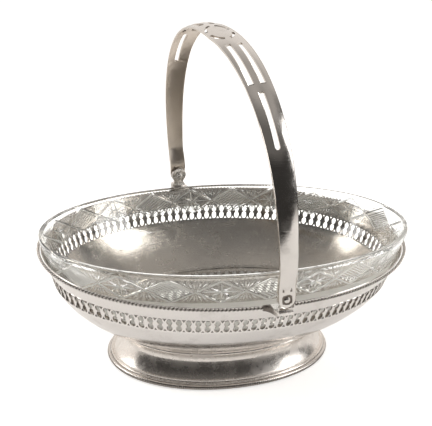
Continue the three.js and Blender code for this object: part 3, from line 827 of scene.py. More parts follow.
    def build(self, finish: Material) -> bpy.types.Object:
        """Builds the sheet.

        Args:
            finish: the plate.
        Returns:
            The bowl.
        """
        bm = self.flat_gallery()
        outer, inner = self.profile()
        foot_at, top_at = self.belly_steps, self.belly_steps + 1
        for vert in bm.verts:
            level, deep = vert.co.z / self.slope, vert.co.y
            walls = [wall[foot_at].toward(wall[top_at], level) for wall in (outer, inner)]
            vert.co = walls[0].toward(walls[1], deep).point(self.even.turn(vert.co.x / self.even.length))
        shell = bmesh.new()
        shell.verts.layers.float.new("hollow")
        crest, brim = outer[-1], inner[-1]
        lip = [crest.toward(outer[-2], self.shoulder), crest.drawn_in(self.lip, crest.height),
               brim.drawn_in(-self.lip, brim.height), brim.drawn_in(0.0, brim.height - self.lip)]
        for wall in (outer, inner):
            spin_profile(shell, [wall[0].pole(), *wall[:foot_at + 1]], 2 * self.holes)
        spin_profile(shell, [*outer[top_at:-1], *lip, *inner[-2:top_at - 1:-1]], 2 * self.holes)
        to_oval(shell, self.even.turn)
        join(bm, shell)
        bmesh.ops.remove_doubles(bm, verts=bm.verts, dist=self.seam_merge)
        bmesh.ops.recalc_face_normals(bm, faces=bm.faces)
        self.mark_inside(bm)
        piece = Piece("bowl_sheet", Body.BASKET, Slot.PLATE, "bowl", finish, merge=self.seam_merge)
        return piece.finish(bm, False)

    def wire(self, end: int, finish: Material) -> bpy.types.Object:
        """Twists half of the rim wire, from lug to lug.

        Args:
            end: 1 for the +X end, -1 for the -X end.
            finish: the wire's plate.
        Returns:
            The wire.
        """
        stand = self.wire_gap + self.wire_radius
        ring = Ring(self.rim.length + stand, self.rim.width + stand, self.rim.height - self.wire_radius / 2)
        even = EvenRing(ring)
        skip = asin((self.lug_reach / ring.length) ** (OVAL_FULLNESS / 2)) / tau
        reach = even.share(0.25 - skip)
        middle = 0.0 if end > 0 else 0.5
        bm = bmesh.new()
        bmesh.ops.create_circle(bm, segments=self.wire_sides, radius=1.0)
        grown = bmesh.ops.extrude_edge_only(bm, edges=bm.edges[:])["geom"]
        bmesh.ops.translate(bm, vec=(0, 0, 1), verts=[v for v in grown if isinstance(v, bmesh.types.BMVert)])
        along = [e for e in bm.edges if abs(e.verts[0].co.z - e.verts[1].co.z) > 0.5]
        bmesh.ops.subdivide_edges(bm, edges=along, cuts=ceil(2 * reach * even.length / self.wire_step))
        hollow = bm.verts.layers.float.new("hollow")
        known: dict[float, tuple[Vector, Vector, float]] = {}
        for vert in bm.verts:
            mark, around = round(vert.co.z, 6), atan2(vert.co.y, vert.co.x)
            if mark not in known:
                share = middle + reach * (2 * mark - 1)
                turn = even.turn(share)
                twist = self.wire_strands * share * even.length / self.wire_pitch * pi
                known[mark] = ring.point(turn), ring.outward(turn), twist
            point, out, twist = known[mark]
            lobe = max(abs(cos(around - twist)), self.wire_groove)
            # The groove between the strands is marked for painted shade.
            vert[hollow] = 1.0 - lobe
            radius = self.wire_radius * lobe ** self.wire_roundness
            vert.co = point + out * (cos(around) * radius) + Vector((0, 0, sin(around) * radius))
        bmesh.ops.holes_fill(bm, edges=bm.edges, sides=self.wire_sides)
        side = "right" if end > 0 else "left"
        piece = Piece(f"twisted_wire_{side}", Body.BASKET, Slot.WIRE, f"rim_wire_{side}", finish, sharp=60.0)
        return piece.finish(bm)


# The foot


@dataclass
class Foot:
    """The spreading oval foot, with a bead under the bowl and a ticked border soldered round its edge.

    From the edge up: a rounded step, a bright line in its corner, a cove, a neck, a bead and the bowl's seat.
    """

    edge: Ring = Ring(91.0, 64.4, 0.0)
    wall: float = 1.2
    edge_height: float = 4.6
    ring_width: float = 3.4
    step_width: float = 2.6
    step_height: float = 2.2
    step_round: float = 0.95
    line_radius: float = 0.6
    line_out: float = 0.1
    line_sink: float = 0.2
    cove_start: float = 0.5
    cove_sag: float = 5.9
    cove_lean: float = 2.0
    cove_steps: int = 18
    waist_inset: float = 9.4
    waist_height: float = 20.0
    waist_lean: float = 0.1
    waist_rise: float = 2.2
    bead_radius: float = 1.3
    bead_inset: float = 7.2
    bead_neck: float = 0.4
    seat_height: float = 29.3
    seat_width: float = 4.5
    steps: int = 200
    border_gap: float = 0.3
    border_width: float = 2.5
    ticks: int = 328
    tick_cuts: int = 7
    tick_depth: float = 0.45
    tick_slant: float = 0.5
    tick_top: float = 3.6
    tick_fade: float = 0.6
    tick_reach: float = 1.6

    def at(self, inset: float, height: float) -> Ring:
        """The foot's oval drawn in, at a height."""
        return self.edge.drawn_in(inset, height)

    def round_at(self, inset: float, height: float, radius: float, turns: Iterable[float]) -> list[Ring]:
        """Stations round a middle, bulging outwards."""
        return [self.at(inset - radius * cos(t), height + radius * sin(t)) for t in turns]

    def profile(self) -> list[Ring]:
        """The foot's closed section.

        Returns:
            Its stations, from the edge up outside and down again inside.
        """
        step_top = self.edge_height + self.step_height
        knee = self.round_at(self.step_round, self.edge_height, self.step_round, arc(0, 120, 6))
        line_inset, line_height = self.step_width - self.line_out, step_top - self.line_sink
        line = self.round_at(line_inset, line_height, self.line_radius, arc(-10, 130, 7))
        start = self.at(self.step_width + self.cove_start, step_top + self.cove_start)
        pull = self.at(self.waist_inset - self.cove_lean, start.height + self.cove_sag)
        cove = bezier(start, pull, self.at(self.waist_inset, self.waist_height), self.cove_steps)
        bead_height = self.seat_height - self.bead_radius - self.bead_neck
        bead = self.round_at(self.bead_inset, bead_height, self.bead_radius, arc(-70, 70, 8))
        waist = self.at(self.waist_inset + self.waist_lean, self.waist_height + self.waist_rise)
        neck = self.at(self.bead_inset + self.bead_neck, bead_height - self.bead_radius)
        flange = self.bead_inset + self.seat_width
        seat = [self.at(self.bead_inset, self.seat_height), self.at(flange, self.seat_height),
                self.at(flange, self.seat_height - self.wall)]
        inside = drawn_inside([*cove, neck], self.wall)[::-1]
        under = [self.at(self.ring_width, self.edge_height - self.wall), self.at(self.ring_width, 0.0)]
        return [self.edge, *knee, *line, *cove, waist, neck, *bead, *seat, *inside, *under]

    def build(self, finish: Material) -> bpy.types.Object:
        """Spins the foot.

        Args:
            finish: the plate.
        Returns:
            The foot.
        """
        bm = bmesh.new()
        spin_profile(bm, self.profile(), self.steps, closed=True)
        to_oval(bm)
        return Piece("oval_foot", Body.BASKET, Slot.PLATE, "foot", finish, sharp=40.0).finish(bm)

    def border(self, finish: Material) -> bpy.types.Object:
        """Spins the border and cuts its ticks.

        Args:
            finish: the wire's plate.
        Returns:
            The border.
        """
        rise = (self.edge_height - 2 * self.border_gap) / 2
        middle = self.border_gap + rise
        stations = [self.edge.drawn_in(-self.border_gap - self.border_width * cos(t), middle + rise * sin(t))
                    for t in arc(-90, 90, 8)]
        bm = bmesh.new()
        spin_profile(bm, stations, self.ticks // 2, closed=True, cuts=self.tick_cuts)
        lengths, widths = half_sizes(bm)
        hollow = bm.verts.layers.float.new("hollow")
        inner = self.edge.length + self.border_gap
        for vert in bm.verts:
            share = (atan2(vert.co.y, vert.co.x) / tau) % 1
            out = (vert[lengths] - inner) / self.border_width
            slant = self.tick_slant * (vert.co.z - middle) / rise
            low = clamp((self.tick_top - vert.co.z) / self.tick_fade)
            groove = (0.5 - 0.5 * cos((share * self.ticks + slant) * tau)) ** 2 * low
            # The ticks are marked for painted shade.
            vert[hollow] = groove
            cut = self.tick_depth * groove * clamp(out * self.tick_reach)
            vert[lengths] -= cut
            vert[widths] -= cut
        to_oval(bm)
        return Piece("ticked_border", Body.BASKET, Slot.WIRE, "foot_border", finish, sharp=70.0).finish(bm)


# The hinges


@dataclass
class Hinge:
    """The fixed half of a hinge: a lug on a flared base, its rivet and its washer."""

    name: str
    side: int
    pivot_height: float = 107.9
    tail: float = 119.2
    washer_face: float = 121.1
    recess_floor: float = 126.1
    rivet_radius: float = 1.5
    head_radius: float = 2.3
    head_height: float = 0.9
    washer_radius: float = 3.4
    washer_thickness: float = 0.7
    bore: float = 1.8
    edge_break: float = 0.28
    cad_merge: float = 0.02
    flat_angle: float = 2.0
    sharp_angle: float = 38.0
    soft_edge: float = 0.15

    def piece(self, look: str, node: str, finish: Material) -> Piece:
        """One part of the hinge, named for how it looks and for the node that it replaces."""
        return Piece(f"{look}_{self.name}", Body.BASKET, Slot.HINGE, f"{node}_{self.name}", finish)

    def lug(self, finish: Material) -> bpy.types.Object:
        """Softens the edges of the cast lug.

        Args:
            finish: the hinge's plate.
        Returns:
            The lug.
        """
        bm = bmesh.new()
        bm.from_mesh(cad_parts[f"lug_{self.name}"].data)
        bmesh.ops.scale(bm, vec=(1 / MM,) * 3, verts=bm.verts)
        bmesh.ops.remove_doubles(bm, verts=bm.verts, dist=self.cad_merge)
        bmesh.ops.dissolve_limit(bm, angle_limit=radians(self.flat_angle), verts=bm.verts, edges=bm.edges)
        corner = radians(self.sharp_angle)
        sharp = [e for e in bm.edges if len(e.link_faces) == 2 and e.calc_face_angle(0) > corner]
        bmesh.ops.bevel(bm, geom=sharp, offset=self.edge_break, affect="EDGES", segments=2, profile=0.5,
                        material=-1, clamp_overlap=True)
        return self.piece("cast_lug", "lug", finish).finish(bm)

    def rivet(self, finish: Material) -> bpy.types.Object:
        """Turns the rivet, with a domed head outside and a peened tail inside.

        Args:
            finish: the hinge's plate.
        Returns:
            The rivet.
        """
        head, height = self.head_radius, self.head_height
        outer_end = self.tail + height
        button = [(head * cos(t), outer_end - height * sin(t)) for t in arc(90, 0, 6)]
        dome = [(head * cos(t), self.recess_floor + height * sin(t)) for t in arc(0, 90, 6)]
        shank = [(self.rivet_radius, outer_end), (self.rivet_radius, self.recess_floor)]
        bm = lathe([*button, *shank, *dome], self.side)
        move(bm, (0, 0, self.pivot_height))
        return self.piece("domed_rivet", "rivet", finish).finish(bm)

    def washer(self, finish: Material) -> bpy.types.Object:
        """Turns the washer under the rivet's tail.

        Args:
            finish: the hinge's plate.
        Returns:
            The washer.
        """
        face, radius, soft = self.washer_face, self.washer_radius, self.soft_edge
        back = face - self.washer_thickness
        profile = [(self.bore, back), (radius - soft, back), (radius, back + soft), (radius, face - soft),
                   (radius - soft, face), (self.bore, face)]
        bm = lathe(profile, self.side, True)
        move(bm, (0, 0, self.pivot_height))
        return self.piece("thin_washer", "washer", finish).finish(bm)


# The handle


@dataclass
class Handle:
    """The bail: one domed, slotted band that rises in a full arch and ends in two flat riveted knuckles.

    Face, block and tongue are how far out a knuckle's outer side, its inner side and its thinned back lie. Span
    and heights are measured from the hinge axis, and slots along the middle line. Widths are the root's, the
    middle's and the top's. Blend says how far from the hinge the flat knuckle ends, and where the outer and the
    inner side are fully domed. A notch has a place across, a place along and a length. Cuts let the flat band
    bend: across it a reach and a step, along it a start, an end and a step near the hinges, and a wider step.
    """

    pivot: float = 107.9
    lean: float = 4.92
    face: float = 126.7
    block: float = 123.0
    tongue: float = 124.5
    span: float = 130.0
    bow: float = 4.7
    arm_share: float = 0.2
    arm_height: float = 36.7
    arch_height: float = 125.75
    fullness: float = 2.27
    thickness: float = 1.7
    widths: Triple = (11.7, 19.0, 23.2)
    crown: float = 0.085
    knuckle: float = 6.5
    blend: Triple = (6.8, 12.2, 26.0)
    centre_slot: tuple[float, float] = (112.6, 156.1)
    twin_slot: tuple[float, float] = (164.0, 213.5)
    twin_offset: float = 4.45
    slot_width: float = 3.8
    slot_shift: float = -1.1
    cartouche: tuple[float, float] = (18.0, 9.0)
    cartouche_slot: float = 2.1
    cartouche_turn: tuple[float, float] = (16.0, 76.0)
    edge_break: float = 0.3
    lug_room: float = 7.7
    neck_slope: float = 0.794
    recess: tuple[float, float] = (3.6, 0.9)
    bore: float = 1.8
    notch: Triple = (3.2, 8.0, 3.2)
    notch_side: float = 1.05
    outline_steps: int = 80
    slot_steps: int = 9
    room_steps: int = 24
    cuts_across: tuple[int, int] = (10, 2)
    fine_cuts: Triple = (-6.0, 30.0, 1.5)
    coarse_cuts: int = 3

    def __post_init__(self) -> None:
        """Measures the middle line."""
        self.line = np.array([self.line_point(t) for t in np.linspace(0, 1, CURVE_POINTS)])
        self.arcs = arc_lengths(self.line)
        self.length = float(self.arcs[-1])

    def line_point(self, share: float) -> tuple[float, float]:
        """A point of the middle line.

        Args:
            share: from 0 at the -Y hinge to 1 at the +Y one.
        Returns:
            Its Y and its height over the hinge.
        """
        side = -1 if share < 0.5 else 1
        climb = 1 - abs(2 * share - 1)
        if climb < self.arm_share:
            rest = 1 - climb / self.arm_share
            return side * (self.span - self.bow * rest * rest), self.arm_height * (1 - rest)
        angle = (climb - self.arm_share) / (1 - self.arm_share) * pi / 2
        power = 2 / self.fullness
        height = self.arm_height + self.arch_height * sin(angle) ** power
        return side * self.span * max(cos(angle), 0) ** power, height

    def at(self, distance: float, step: float = 0.4) -> tuple[Vector, Vector]:
        """The middle line at a distance along it.

        Args:
            distance: from the -Y hinge.
            step: how far before and after it the line's direction is read.
        Returns:
            The point and the outward direction.
        """
        inside = min(max(distance, 0.0), self.length)
        spot = lambda d: Vector((0, *(np.interp(d, self.arcs, column) for column in self.line.T)))
        run = spot(min(inside + step, self.length)) - spot(max(inside - step, 0.0))
        point = spot(inside) + Vector((0, 0, min(distance, 0.0) + min(self.length - distance, 0.0)))
        return point, Vector((0, -run.z, run.y)).normalized()

    def width(self, distance: float) -> float:
        """The band's width.

        Args:
            distance: along the middle line.
        Returns:
            The width, which is never less than the knuckle's.
        """
        share = max(min(distance, self.length - distance), 0.0) / (self.length / 2)
        rest = 1 - share
        root, middle, top = self.widths
        return max(root * rest * rest + 2 * middle * share * rest + top * share * share, 2 * self.knuckle)

    def place(self, across: float, distance: float, depth: float) -> Vector:
        """Bends a point of the flat band into place.

        Args:
            across, distance: where it lies on the flat band.
            depth: 0 on the outer face, 1 on the inner one.
        Returns:
            Its place, measured from the hinge axis, before the handle leans.
        """
        point, out = self.at(distance)
        from_hinge = min(distance, self.length - distance)
        side = -1 if distance < self.length / 2 else 1
        width = self.width(distance)
        rise = self.crown * width * (1 - (2 * across / width) ** 2) - self.crown * width
        ends = []
        for face, off, last in ((self.face, 0.5, self.blend[1]), (self.block, -0.5, self.blend[2])):
            share = clamp((from_hinge - self.blend[0]) / (last - self.blend[0]))
            share = share * share * (3 - 2 * share)
            domed = point + out * (rise + off * self.thickness)
            ends.append(Vector((0, side * face, point.z)).lerp(domed, share))
        placed = ends[0].lerp(ends[1], depth)
        placed.x = across
        return placed

    def straight_slot(self, start: float, end: float, across: float, round_start: bool) -> Outline:
        """Outline of a straight slot.

        Args:
            start, end: where it lies along the band.
            across: how far it lies off the middle.
            round_start: whether its start is a half round.
        Returns:
            Points across and along the band.
        """
        half = self.slot_width / 2
        foot = [(across - half, start), (across + half, start)]
        if round_start:
            foot = [(across - half * cos(t), start + half - half * sin(t)) for t in arc(0, 180, 10)]
        return [*foot, (across + half, end), (across - half, end)]

    def curved_slot(self, up: int, across: int) -> Outline:
        """Outline of one of the four slots round the cartouche.

        Args:
            up, across: -1 or 1, which of the four it is.
        Returns:
            Points across and along the band.
        """
        first, last = (radians(t) for t in self.cartouche_turn)
        turns = [first + (last - first) * i / self.slot_steps for i in range(self.slot_steps + 1)]
        half = self.cartouche_slot / 2
        spot = lambda t, off: (across * (self.cartouche[1] + off) * cos(t),
                               self.length / 2 + up * (self.cartouche[0] + off) * sin(t))
        return [spot(t, half) for t in turns] + [spot(t, -half) for t in reversed(turns)]

    def outline(self) -> Outline:
        """The flat band's outline, with a half round at each end.

        Returns:
            Points across and along the band.
        """
        marks = [self.length * i / self.outline_steps for i in range(self.outline_steps + 1)]
        turns = arc(15, 165, 10)
        up = [(self.width(d) / 2, d) for d in marks]
        down = [(-x, d) for x, d in reversed(up)]
        far = [(self.knuckle * cos(t), self.length + self.knuckle * sin(t)) for t in turns]
        near = [(-self.knuckle * cos(t), -self.knuckle * sin(t)) for t in turns]
        return [*up, *far, *down, *near]

    def slots(self) -> list[Outline]:
        """Outlines of every slot in the band.

        Returns:
            Points across and along the band.
        """
        slots = [self.straight_slot(*self.centre_slot, 0.0, True)]
        slots += [self.straight_slot(*self.twin_slot, side * self.twin_offset, False) for side in (-1, 1)]
        slots += [[(x, self.length - d) for x, d in loop] for loop in slots]
        slots += [self.curved_slot(up, across) for up in (-1, 1) for across in (-1, 1)]
        return [[(x + self.slot_shift, d) for x, d in loop] for loop in slots]

    def flat_band(self) -> Mesh:
        """Cuts the band flat, and cuts it up finely enough to bend.

        Returns:
            The mesh across X and along Y, with its outer side at z = 0 and its inner one at z = -1.
        """
        bm = bmesh.new()
        edges = []
        for loop in (self.outline(), *self.slots()):
            edges += draw_line(bm, [(x, d, 0) for x, d in loop])
        bmesh.ops.triangle_fill(bm, use_beauty=True, edges=edges, normal=(0, 0, 1))
        outer = bm.faces[:]
        inner = make_slab(bm, outer, (0, 0, -1))
        sink = self.edge_break / self.thickness
        chamfer(bm, outer, self.edge_break, Vector((0, 0, -sink)))
        chamfer(bm, inner, self.edge_break, Vector((0, 0, sink)))
        reach, lane = self.cuts_across
        cuts = [(Vector((x, 0, 0)), Vector((1, 0, 0))) for x in range(-reach, reach + 1, lane)]
        first, last, fine = self.fine_cuts
        stops = [fine * i for i in range(round(first / fine), round(last / fine))]
        stops += [self.length - d for d in stops]
        stops += [float(d) for d in range(int(last), int(self.length) - int(last) + 1, self.coarse_cuts)]
        cuts += [(Vector((0, d, 0)), Vector((0, 1, 0))) for d in stops]
        for spot, square in cuts:
            bmesh.ops.bisect_plane(bm, geom=whole(bm), dist=CLOSE, plane_co=spot, plane_no=square)
        return bm

    def rivet_cut(self, side: int) -> Mesh:
        """What is cut out of a knuckle for the rivet.

        Args:
            side: -1 for the hinge at -Y, 1 for the one at +Y.
        Returns:
            One closed mesh: the bore, and the recess round the head with its flared rim.
        """
        radius, depth = self.recess
        back, floor_at, front = self.block - 2, self.face - depth, self.face + 2
        flare, brim = radius + 0.5, self.face - self.edge_break
        profile = [(0, back), (self.bore, back), (self.bore, floor_at), (radius, floor_at), (radius, brim),
                   (flare, self.face + 0.2), (flare, front), (0, front)]
        return lathe(profile, side)

    def lug_cut(self, side: int) -> Mesh:
        """What is cut out of a knuckle for the lug.

        Args:
            side: -1 for the hinge at -Y, 1 for the one at +Y.
        Returns:
            One closed mesh: the room round the lug's disc and neck.
        """
        bm = bmesh.new()
        reach, back = 2 * self.knuckle, self.block - 3
        start = atan2(self.neck_slope, 1)
        turns = [start + (pi - 2 * start) * i / self.room_steps for i in range(self.room_steps + 1)]
        disc = [(self.lug_room * cos(t), self.lug_room * sin(t)) for t in turns]
        shoulder = reach * self.neck_slope
        outline = [(reach, -reach), (reach, shoulder), *disc, (-reach, shoulder), (-reach, -reach)]
        face = bm.faces.new([bm.verts.new((x, side * back, z)) for x, z in outline])
        make_slab(bm, [face], (0, side * (self.tongue - back), 0))
        return bm

    def notch_cuts(self) -> list[Mesh]:
        """What is cut out of the knuckles for the notches over the rivets.

        Returns:
            One closed mesh for each notch.
        """
        across, up, long = self.notch
        cuts = []
        for distance in (up, self.length - up):
            for hand in (-1, 1):
                bm = bmesh.new()
                bmesh.ops.create_cube(bm, size=1.0)
                bmesh.ops.scale(bm, vec=(self.notch_side, self.notch_side, long), verts=bm.verts)
                turn_about(bm, 45, "Z")
                move(bm, self.place(hand * across, distance, 0.0))
                cuts.append(bm)
        return cuts

    @staticmethod
    def stand_in(name: str, bm: Mesh) -> bpy.types.Object:
        """Makes an object that lives only while the handle is cut.

        Args:
            name: its name.
            bm: its closed mesh, which is used up.
        Returns:
            The object.
        """
        bmesh.ops.remove_doubles(bm, verts=bm.verts, dist=CLOSE / 10)
        bmesh.ops.recalc_face_normals(bm, faces=bm.faces)
        mesh = bpy.data.meshes.new(name)
        bm.to_mesh(mesh)
        bm.free()
        return link_object(name, mesh)

    def carve(self, bm: Mesh, cuts: list[Mesh]) -> Mesh:
        """Takes closed shapes out of a mesh, one after another.

        Args:
            bm: the mesh that is cut, which is used up.
            cuts: what is taken out, which is used up too.
        Returns:
            The cut mesh.
        """
        body = self.stand_in("uncut", bm)
        tools = [self.stand_in("cut", cut) for cut in cuts]
        for tool in tools:
            modifier = body.modifiers.new("cut", "BOOLEAN")
            modifier.operation = "DIFFERENCE"
            modifier.solver = "EXACT"
            modifier.object = tool
        evaluated = body.evaluated_get(bpy.context.evaluated_depsgraph_get())
        result = bmesh.new()
        result.from_mesh(evaluated.to_mesh())
        evaluated.to_mesh_clear()
        for made in (body, *tools):
            bpy.data.objects.remove(made)
        return result

    def mark_sides(self, bm: Mesh) -> None:
        """Marks the inner side, and the recesses and notches, which are darkened as painted shade.

        Args:
            bm: the upright handle, with its hinge axis at the origin.
        """
        hollow, inside = (bm.verts.layers.float.new(name) for name in ("hollow", "inner"))
        across, up, long = self.notch
        bm.normal_update()
        for vert in bm.verts:
            x, y, z = abs(vert.co.x), abs(vert.co.y), vert.co.z
            climb = max(z - self.arm_height, 0.0) / self.arch_height
            out = Vector((0, vert.co.y / self.span, climb)).normalized()
            vert[inside] = float(vert.normal.dot(out) < -0.3)
            sunk = self.face - self.recess[1] - 0.1 < y < self.face - 0.5
            in_recess = sunk and hypot(x, z) < self.recess[0] + 0.05
            in_notch = y < self.face - 0.3 and abs(z - up) < long and abs(x - across) < 0.2
            vert[hollow] = float(in_recess or in_notch)

    def build(self, finish: Material) -> bpy.types.Object:
        """Bends, cuts and leans the handle.

        Args:
            finish: the plate.
        Returns:
            The handle.
        """
        bm = self.flat_band()
        bmesh.ops.triangulate(bm, faces=[f for f in bm.faces if len(f.verts) > 4])
        for vert in bm.verts:
            vert.co = self.place(vert.co.x, vert.co.y, -vert.co.z)
        hinge_cuts = [cut(side) for side in (-1, 1) for cut in (self.lug_cut, self.rivet_cut)]
        bm = self.carve(bm, hinge_cuts + self.notch_cuts())
        self.mark_sides(bm)
        turn_about(bm, -self.lean, "Y")
        move(bm, (0, 0, self.pivot))
        return Piece("domed_bail", Body.BAIL, Slot.PLATE, "handle", finish, sharp=30.0).finish(bm)


# The liner


@dataclass
class CutBand:
    """One repeat of the glass's cut band, worked flat: a hatched lozenge, a star lozenge and fans between them.

    X runs along the band, Y up it, and Z stands outwards. The lozenges meet at Y = 0, at X = 0, one length and
    two lengths. The star's tips and hollows are shares of a lozenge. Fans are measured from the meeting points.
    """

    length: float
    height: float
    parts: int
    margin: float = 0.5
    groove: float = 1.1
    groove_depth: float = 0.7
    hatch: int = 8
    hatch_depth: float = 0.55
    star_depth: float = 0.8
    star_points: int = 8
    star_tips: tuple[float, float] = (0.855, 0.62)
    star_hollow: float = 0.19
    fan_angles: Triple = (9.0, 29.0, 47.0)
    fan_start: Triple = (2.7, 3.0, 5.7)
    fan_reach: float = 8.6
    fan_waist: float = 0.6
    fan_width: float = 0.72
    fan_depth: float = 0.6
    frost_flat: float = 0.17
    # Milk on cut facets facing away from the light and towards it; the extra on lit facets is painted light.
    cut_haze_and_painted_light: tuple[float, float] = (0.38, 1.0)
    lit_from: tuple[float, float] = (-0.45, 0.9)

    def __post_init__(self) -> None:
        """Works out the lines that the grooves follow."""
        self.top = self.height / 2 - self.margin
        run = Vector((self.length / 2, self.top)).normalized()
        self.squares = (Vector((run.y, -run.x, 0)), Vector((run.y, run.x, 0)))
        self.spacing = self.length * run.y

    def cell(self, point: Vector) -> tuple[int, int] | None:
        """Which lozenge or corner a point lies in.

        Args:
            point: the point.
        Returns:
            Its two counts, or None on a groove or margin.
        """
        shares = [point.dot(square) / self.spacing for square in self.squares]
        clear = min(abs(share - round(share)) for share in shares) * self.spacing
        if clear < self.groove or abs(point.y) > self.top:
            return None
        return floor(shares[0]), floor(shares[1])

    def cut(self, bm: Mesh, spot: Vector, square: Vector,
            chosen: Callable[[Vector], bool] = lambda middle: True) -> None:
        """Cuts faces along a line.

        Args:
            bm: the band.
            spot: a point of the line.
            square: the direction square to it.
            chosen: names the faces that are cut, by their middles.
        """
        faces = [f for f in bm.faces if chosen(f.calc_center_median())]
        geom = {part for f in faces for part in (f, *f.edges, *f.verts)}
        bmesh.ops.bisect_plane(bm, geom=list(geom), dist=CLOSE / 10, plane_co=spot, plane_no=square)

    def sink(self, bm: Mesh, face: Face, loops: list[Outline], depth: float) -> None:
        """Sinks cuts with given outlines into a flat face.

        Args:
            bm: the band.
            face: the face that they lie in, which is replaced.
            loops: the outlines, which lie inside the face.
            depth: how deep the middle of each cut goes.
        """
        edges = list(face.edges)
        bmesh.ops.delete(bm, geom=[face], context="FACES_ONLY")
        cuts = []
        for loop in loops:
            drawn = draw_line(bm, [(x, y, 0) for x, y in loop])
            edges += drawn
            cuts.append([edge.verts[0] for edge in drawn])
        bmesh.ops.triangle_fill(bm, use_beauty=True, edges=edges, normal=(0, 0, 1))
        faces = [bm.faces.new(verts) for verts in cuts]
        for made in faces:
            made.normal_update()
            if made.normal.z < 0:
                made.normal_flip()
        bmesh.ops.poke(bm, faces=faces, offset=-depth, center_mode="MEAN")

    def star(self) -> Outline:
        """Outline of the star, in the second lozenge.

        Returns:
            Its tips and hollows in turn.
        """
        points = []
        for i in range(2 * self.star_points):
            turn = pi * i / self.star_points
            reach = self.star_hollow if i % 2 else self.star_tips[(i // 2) % 2]
            points.append((self.length * (1.5 + reach * cos(turn) / 2), self.top * reach * sin(turn)))
        return points

    def fan(self, node: float, right: int, up: int) -> list[Outline]:
        """Outlines of the cuts on one side of a meeting point, above or below it.

        Args:
            node: where the lozenges meet.
            right, up: -1 or 1, the side on which the cuts lie.
        Returns:
            One outline for each cut.
        """
        loops = []
        for angle, start in zip(self.fan_angles, self.fan_start):
            turn = radians(angle)
            way, side = (right * sin(turn), up * cos(turn)), (cos(turn) * right, -up * sin(turn))
            end = self.fan_reach / cos(turn)
            spot = lambda along, off: (node + way[0] * along + side[0] * off, way[1] * along + side[1] * off)
            waist = start + (end - start) * self.fan_waist
            half = self.fan_width
            loops.append([spot(start, 0), spot(waist, half), spot(end, 0), spot(waist, -half)])
        return loops

    def grooved(self) -> Mesh:
        """Cuts the grooves between the lozenges.

        Returns:
            The flat mesh, two lengths long.
        """
        bm = bmesh.new()
        bmesh.ops.create_grid(bm, x_segments=1, y_segments=1, size=0.5)
        bmesh.ops.scale(bm, vec=(2 * self.length, self.height, 1), verts=bm.verts)
        move(bm, (self.length, 0, 0))
        for level in (-self.top, self.top):
            self.cut(bm, Vector((0, level, 0)), Vector((0, 1, 0)))
        inside = lambda middle: abs(middle.y) < self.top
        for square in self.squares:
            for node in range(3):
                for off in (-self.groove, 0.0, self.groove):
                    self.cut(bm, Vector((node * self.length, 0, 0)) + square * off, square, inside)
        self.cut(bm, Vector((self.length, 0, 0)), Vector((1, 0, 0)), inside)
        for vert in bm.verts:
            shares = [vert.co.dot(square) / self.spacing for square in self.squares]
            off_line = min(abs(share - round(share)) for share in shares)
            if abs(vert.co.y) < self.top + CLOSE / 10 and off_line < CLOSE / 10:
                vert.co.z = -self.groove_depth
        return bm

    def fill_cells(self, bm: Mesh) -> None:
        """Sinks the star into its lozenge and the fans into the corners.

        Args:
            bm: the grooved band.
        """
        for face in [f for f in bm.faces if self.cell(f.calc_center_median())]:
            middle = face.calc_center_median()
            low, high = self.cell(middle)
            if low != high:
                node = max(low, high) * self.length
                right, up = (1 if off > 0 else -1 for off in (middle.x - node, middle.y))
                self.sink(bm, face, self.fan(node, right, up), self.fan_depth)
            elif low == 1:
                self.sink(bm, face, [self.star()], self.star_depth)

    def hatch_cell(self, bm: Mesh) -> None:
        """Cuts even grooves across the first lozenge.

        Args:
            bm: the grooved band.
        """
        hatched = lambda middle: self.cell(middle) == (0, 0)
        square, pitch = self.squares[1], (self.spacing - 2 * self.groove) / self.hatch / 2
        for line in range(1, 2 * self.hatch):
            self.cut(bm, square * (self.groove + pitch * line), square, hatched)
        for vert in {v for f in bm.faces if hatched(f.calc_center_median()) for v in f.verts}:
            line = round((vert.co.dot(square) - self.groove) / pitch)
            vert.co.z = 0.0 if line % 2 else -self.hatch_depth

    def mark_haze_and_painted_light(self, bm: Mesh) -> None:
        """Writes how milky each facet is: a little where it is flat, more where it is cut, and most, as painted
        light, where a cut faces the light.

        Args:
            bm: the finished band.
        """
        frost = bm.faces.layers.float.new("frost")
        for face in bm.faces:
            face.normal_update()
            # Facets that face the light get more milk: painted light.
            lit = face.normal.x * self.lit_from[0] + face.normal.y * self.lit_from[1]
            flat = abs(lit) < 0.02 and face.normal.z > 0.999
            face[frost] = self.frost_flat if flat else self.cut_haze_and_painted_light[lit > 0]

    def tile(self) -> Mesh:
        """Cuts one repeat, in triangles, and cuts it up finely enough to bend.

        Returns:
            The flat mesh, two lengths long.
        """
        bm = self.grooved()
        self.fill_cells(bm)
        self.hatch_cell(bm)
        bmesh.ops.triangulate(bm, faces=[f for f in bm.faces if len(f.verts) > 3])
        for part in range(1, self.parts):
            self.cut(bm, Vector((2 * self.length * part / self.parts, 0, 0)), Vector((1, 0, 0)))
        bmesh.ops.triangulate(bm, faces=[f for f in bm.faces if len(f.verts) > 3])
        self.mark_haze_and_painted_light(bm)
        return bm


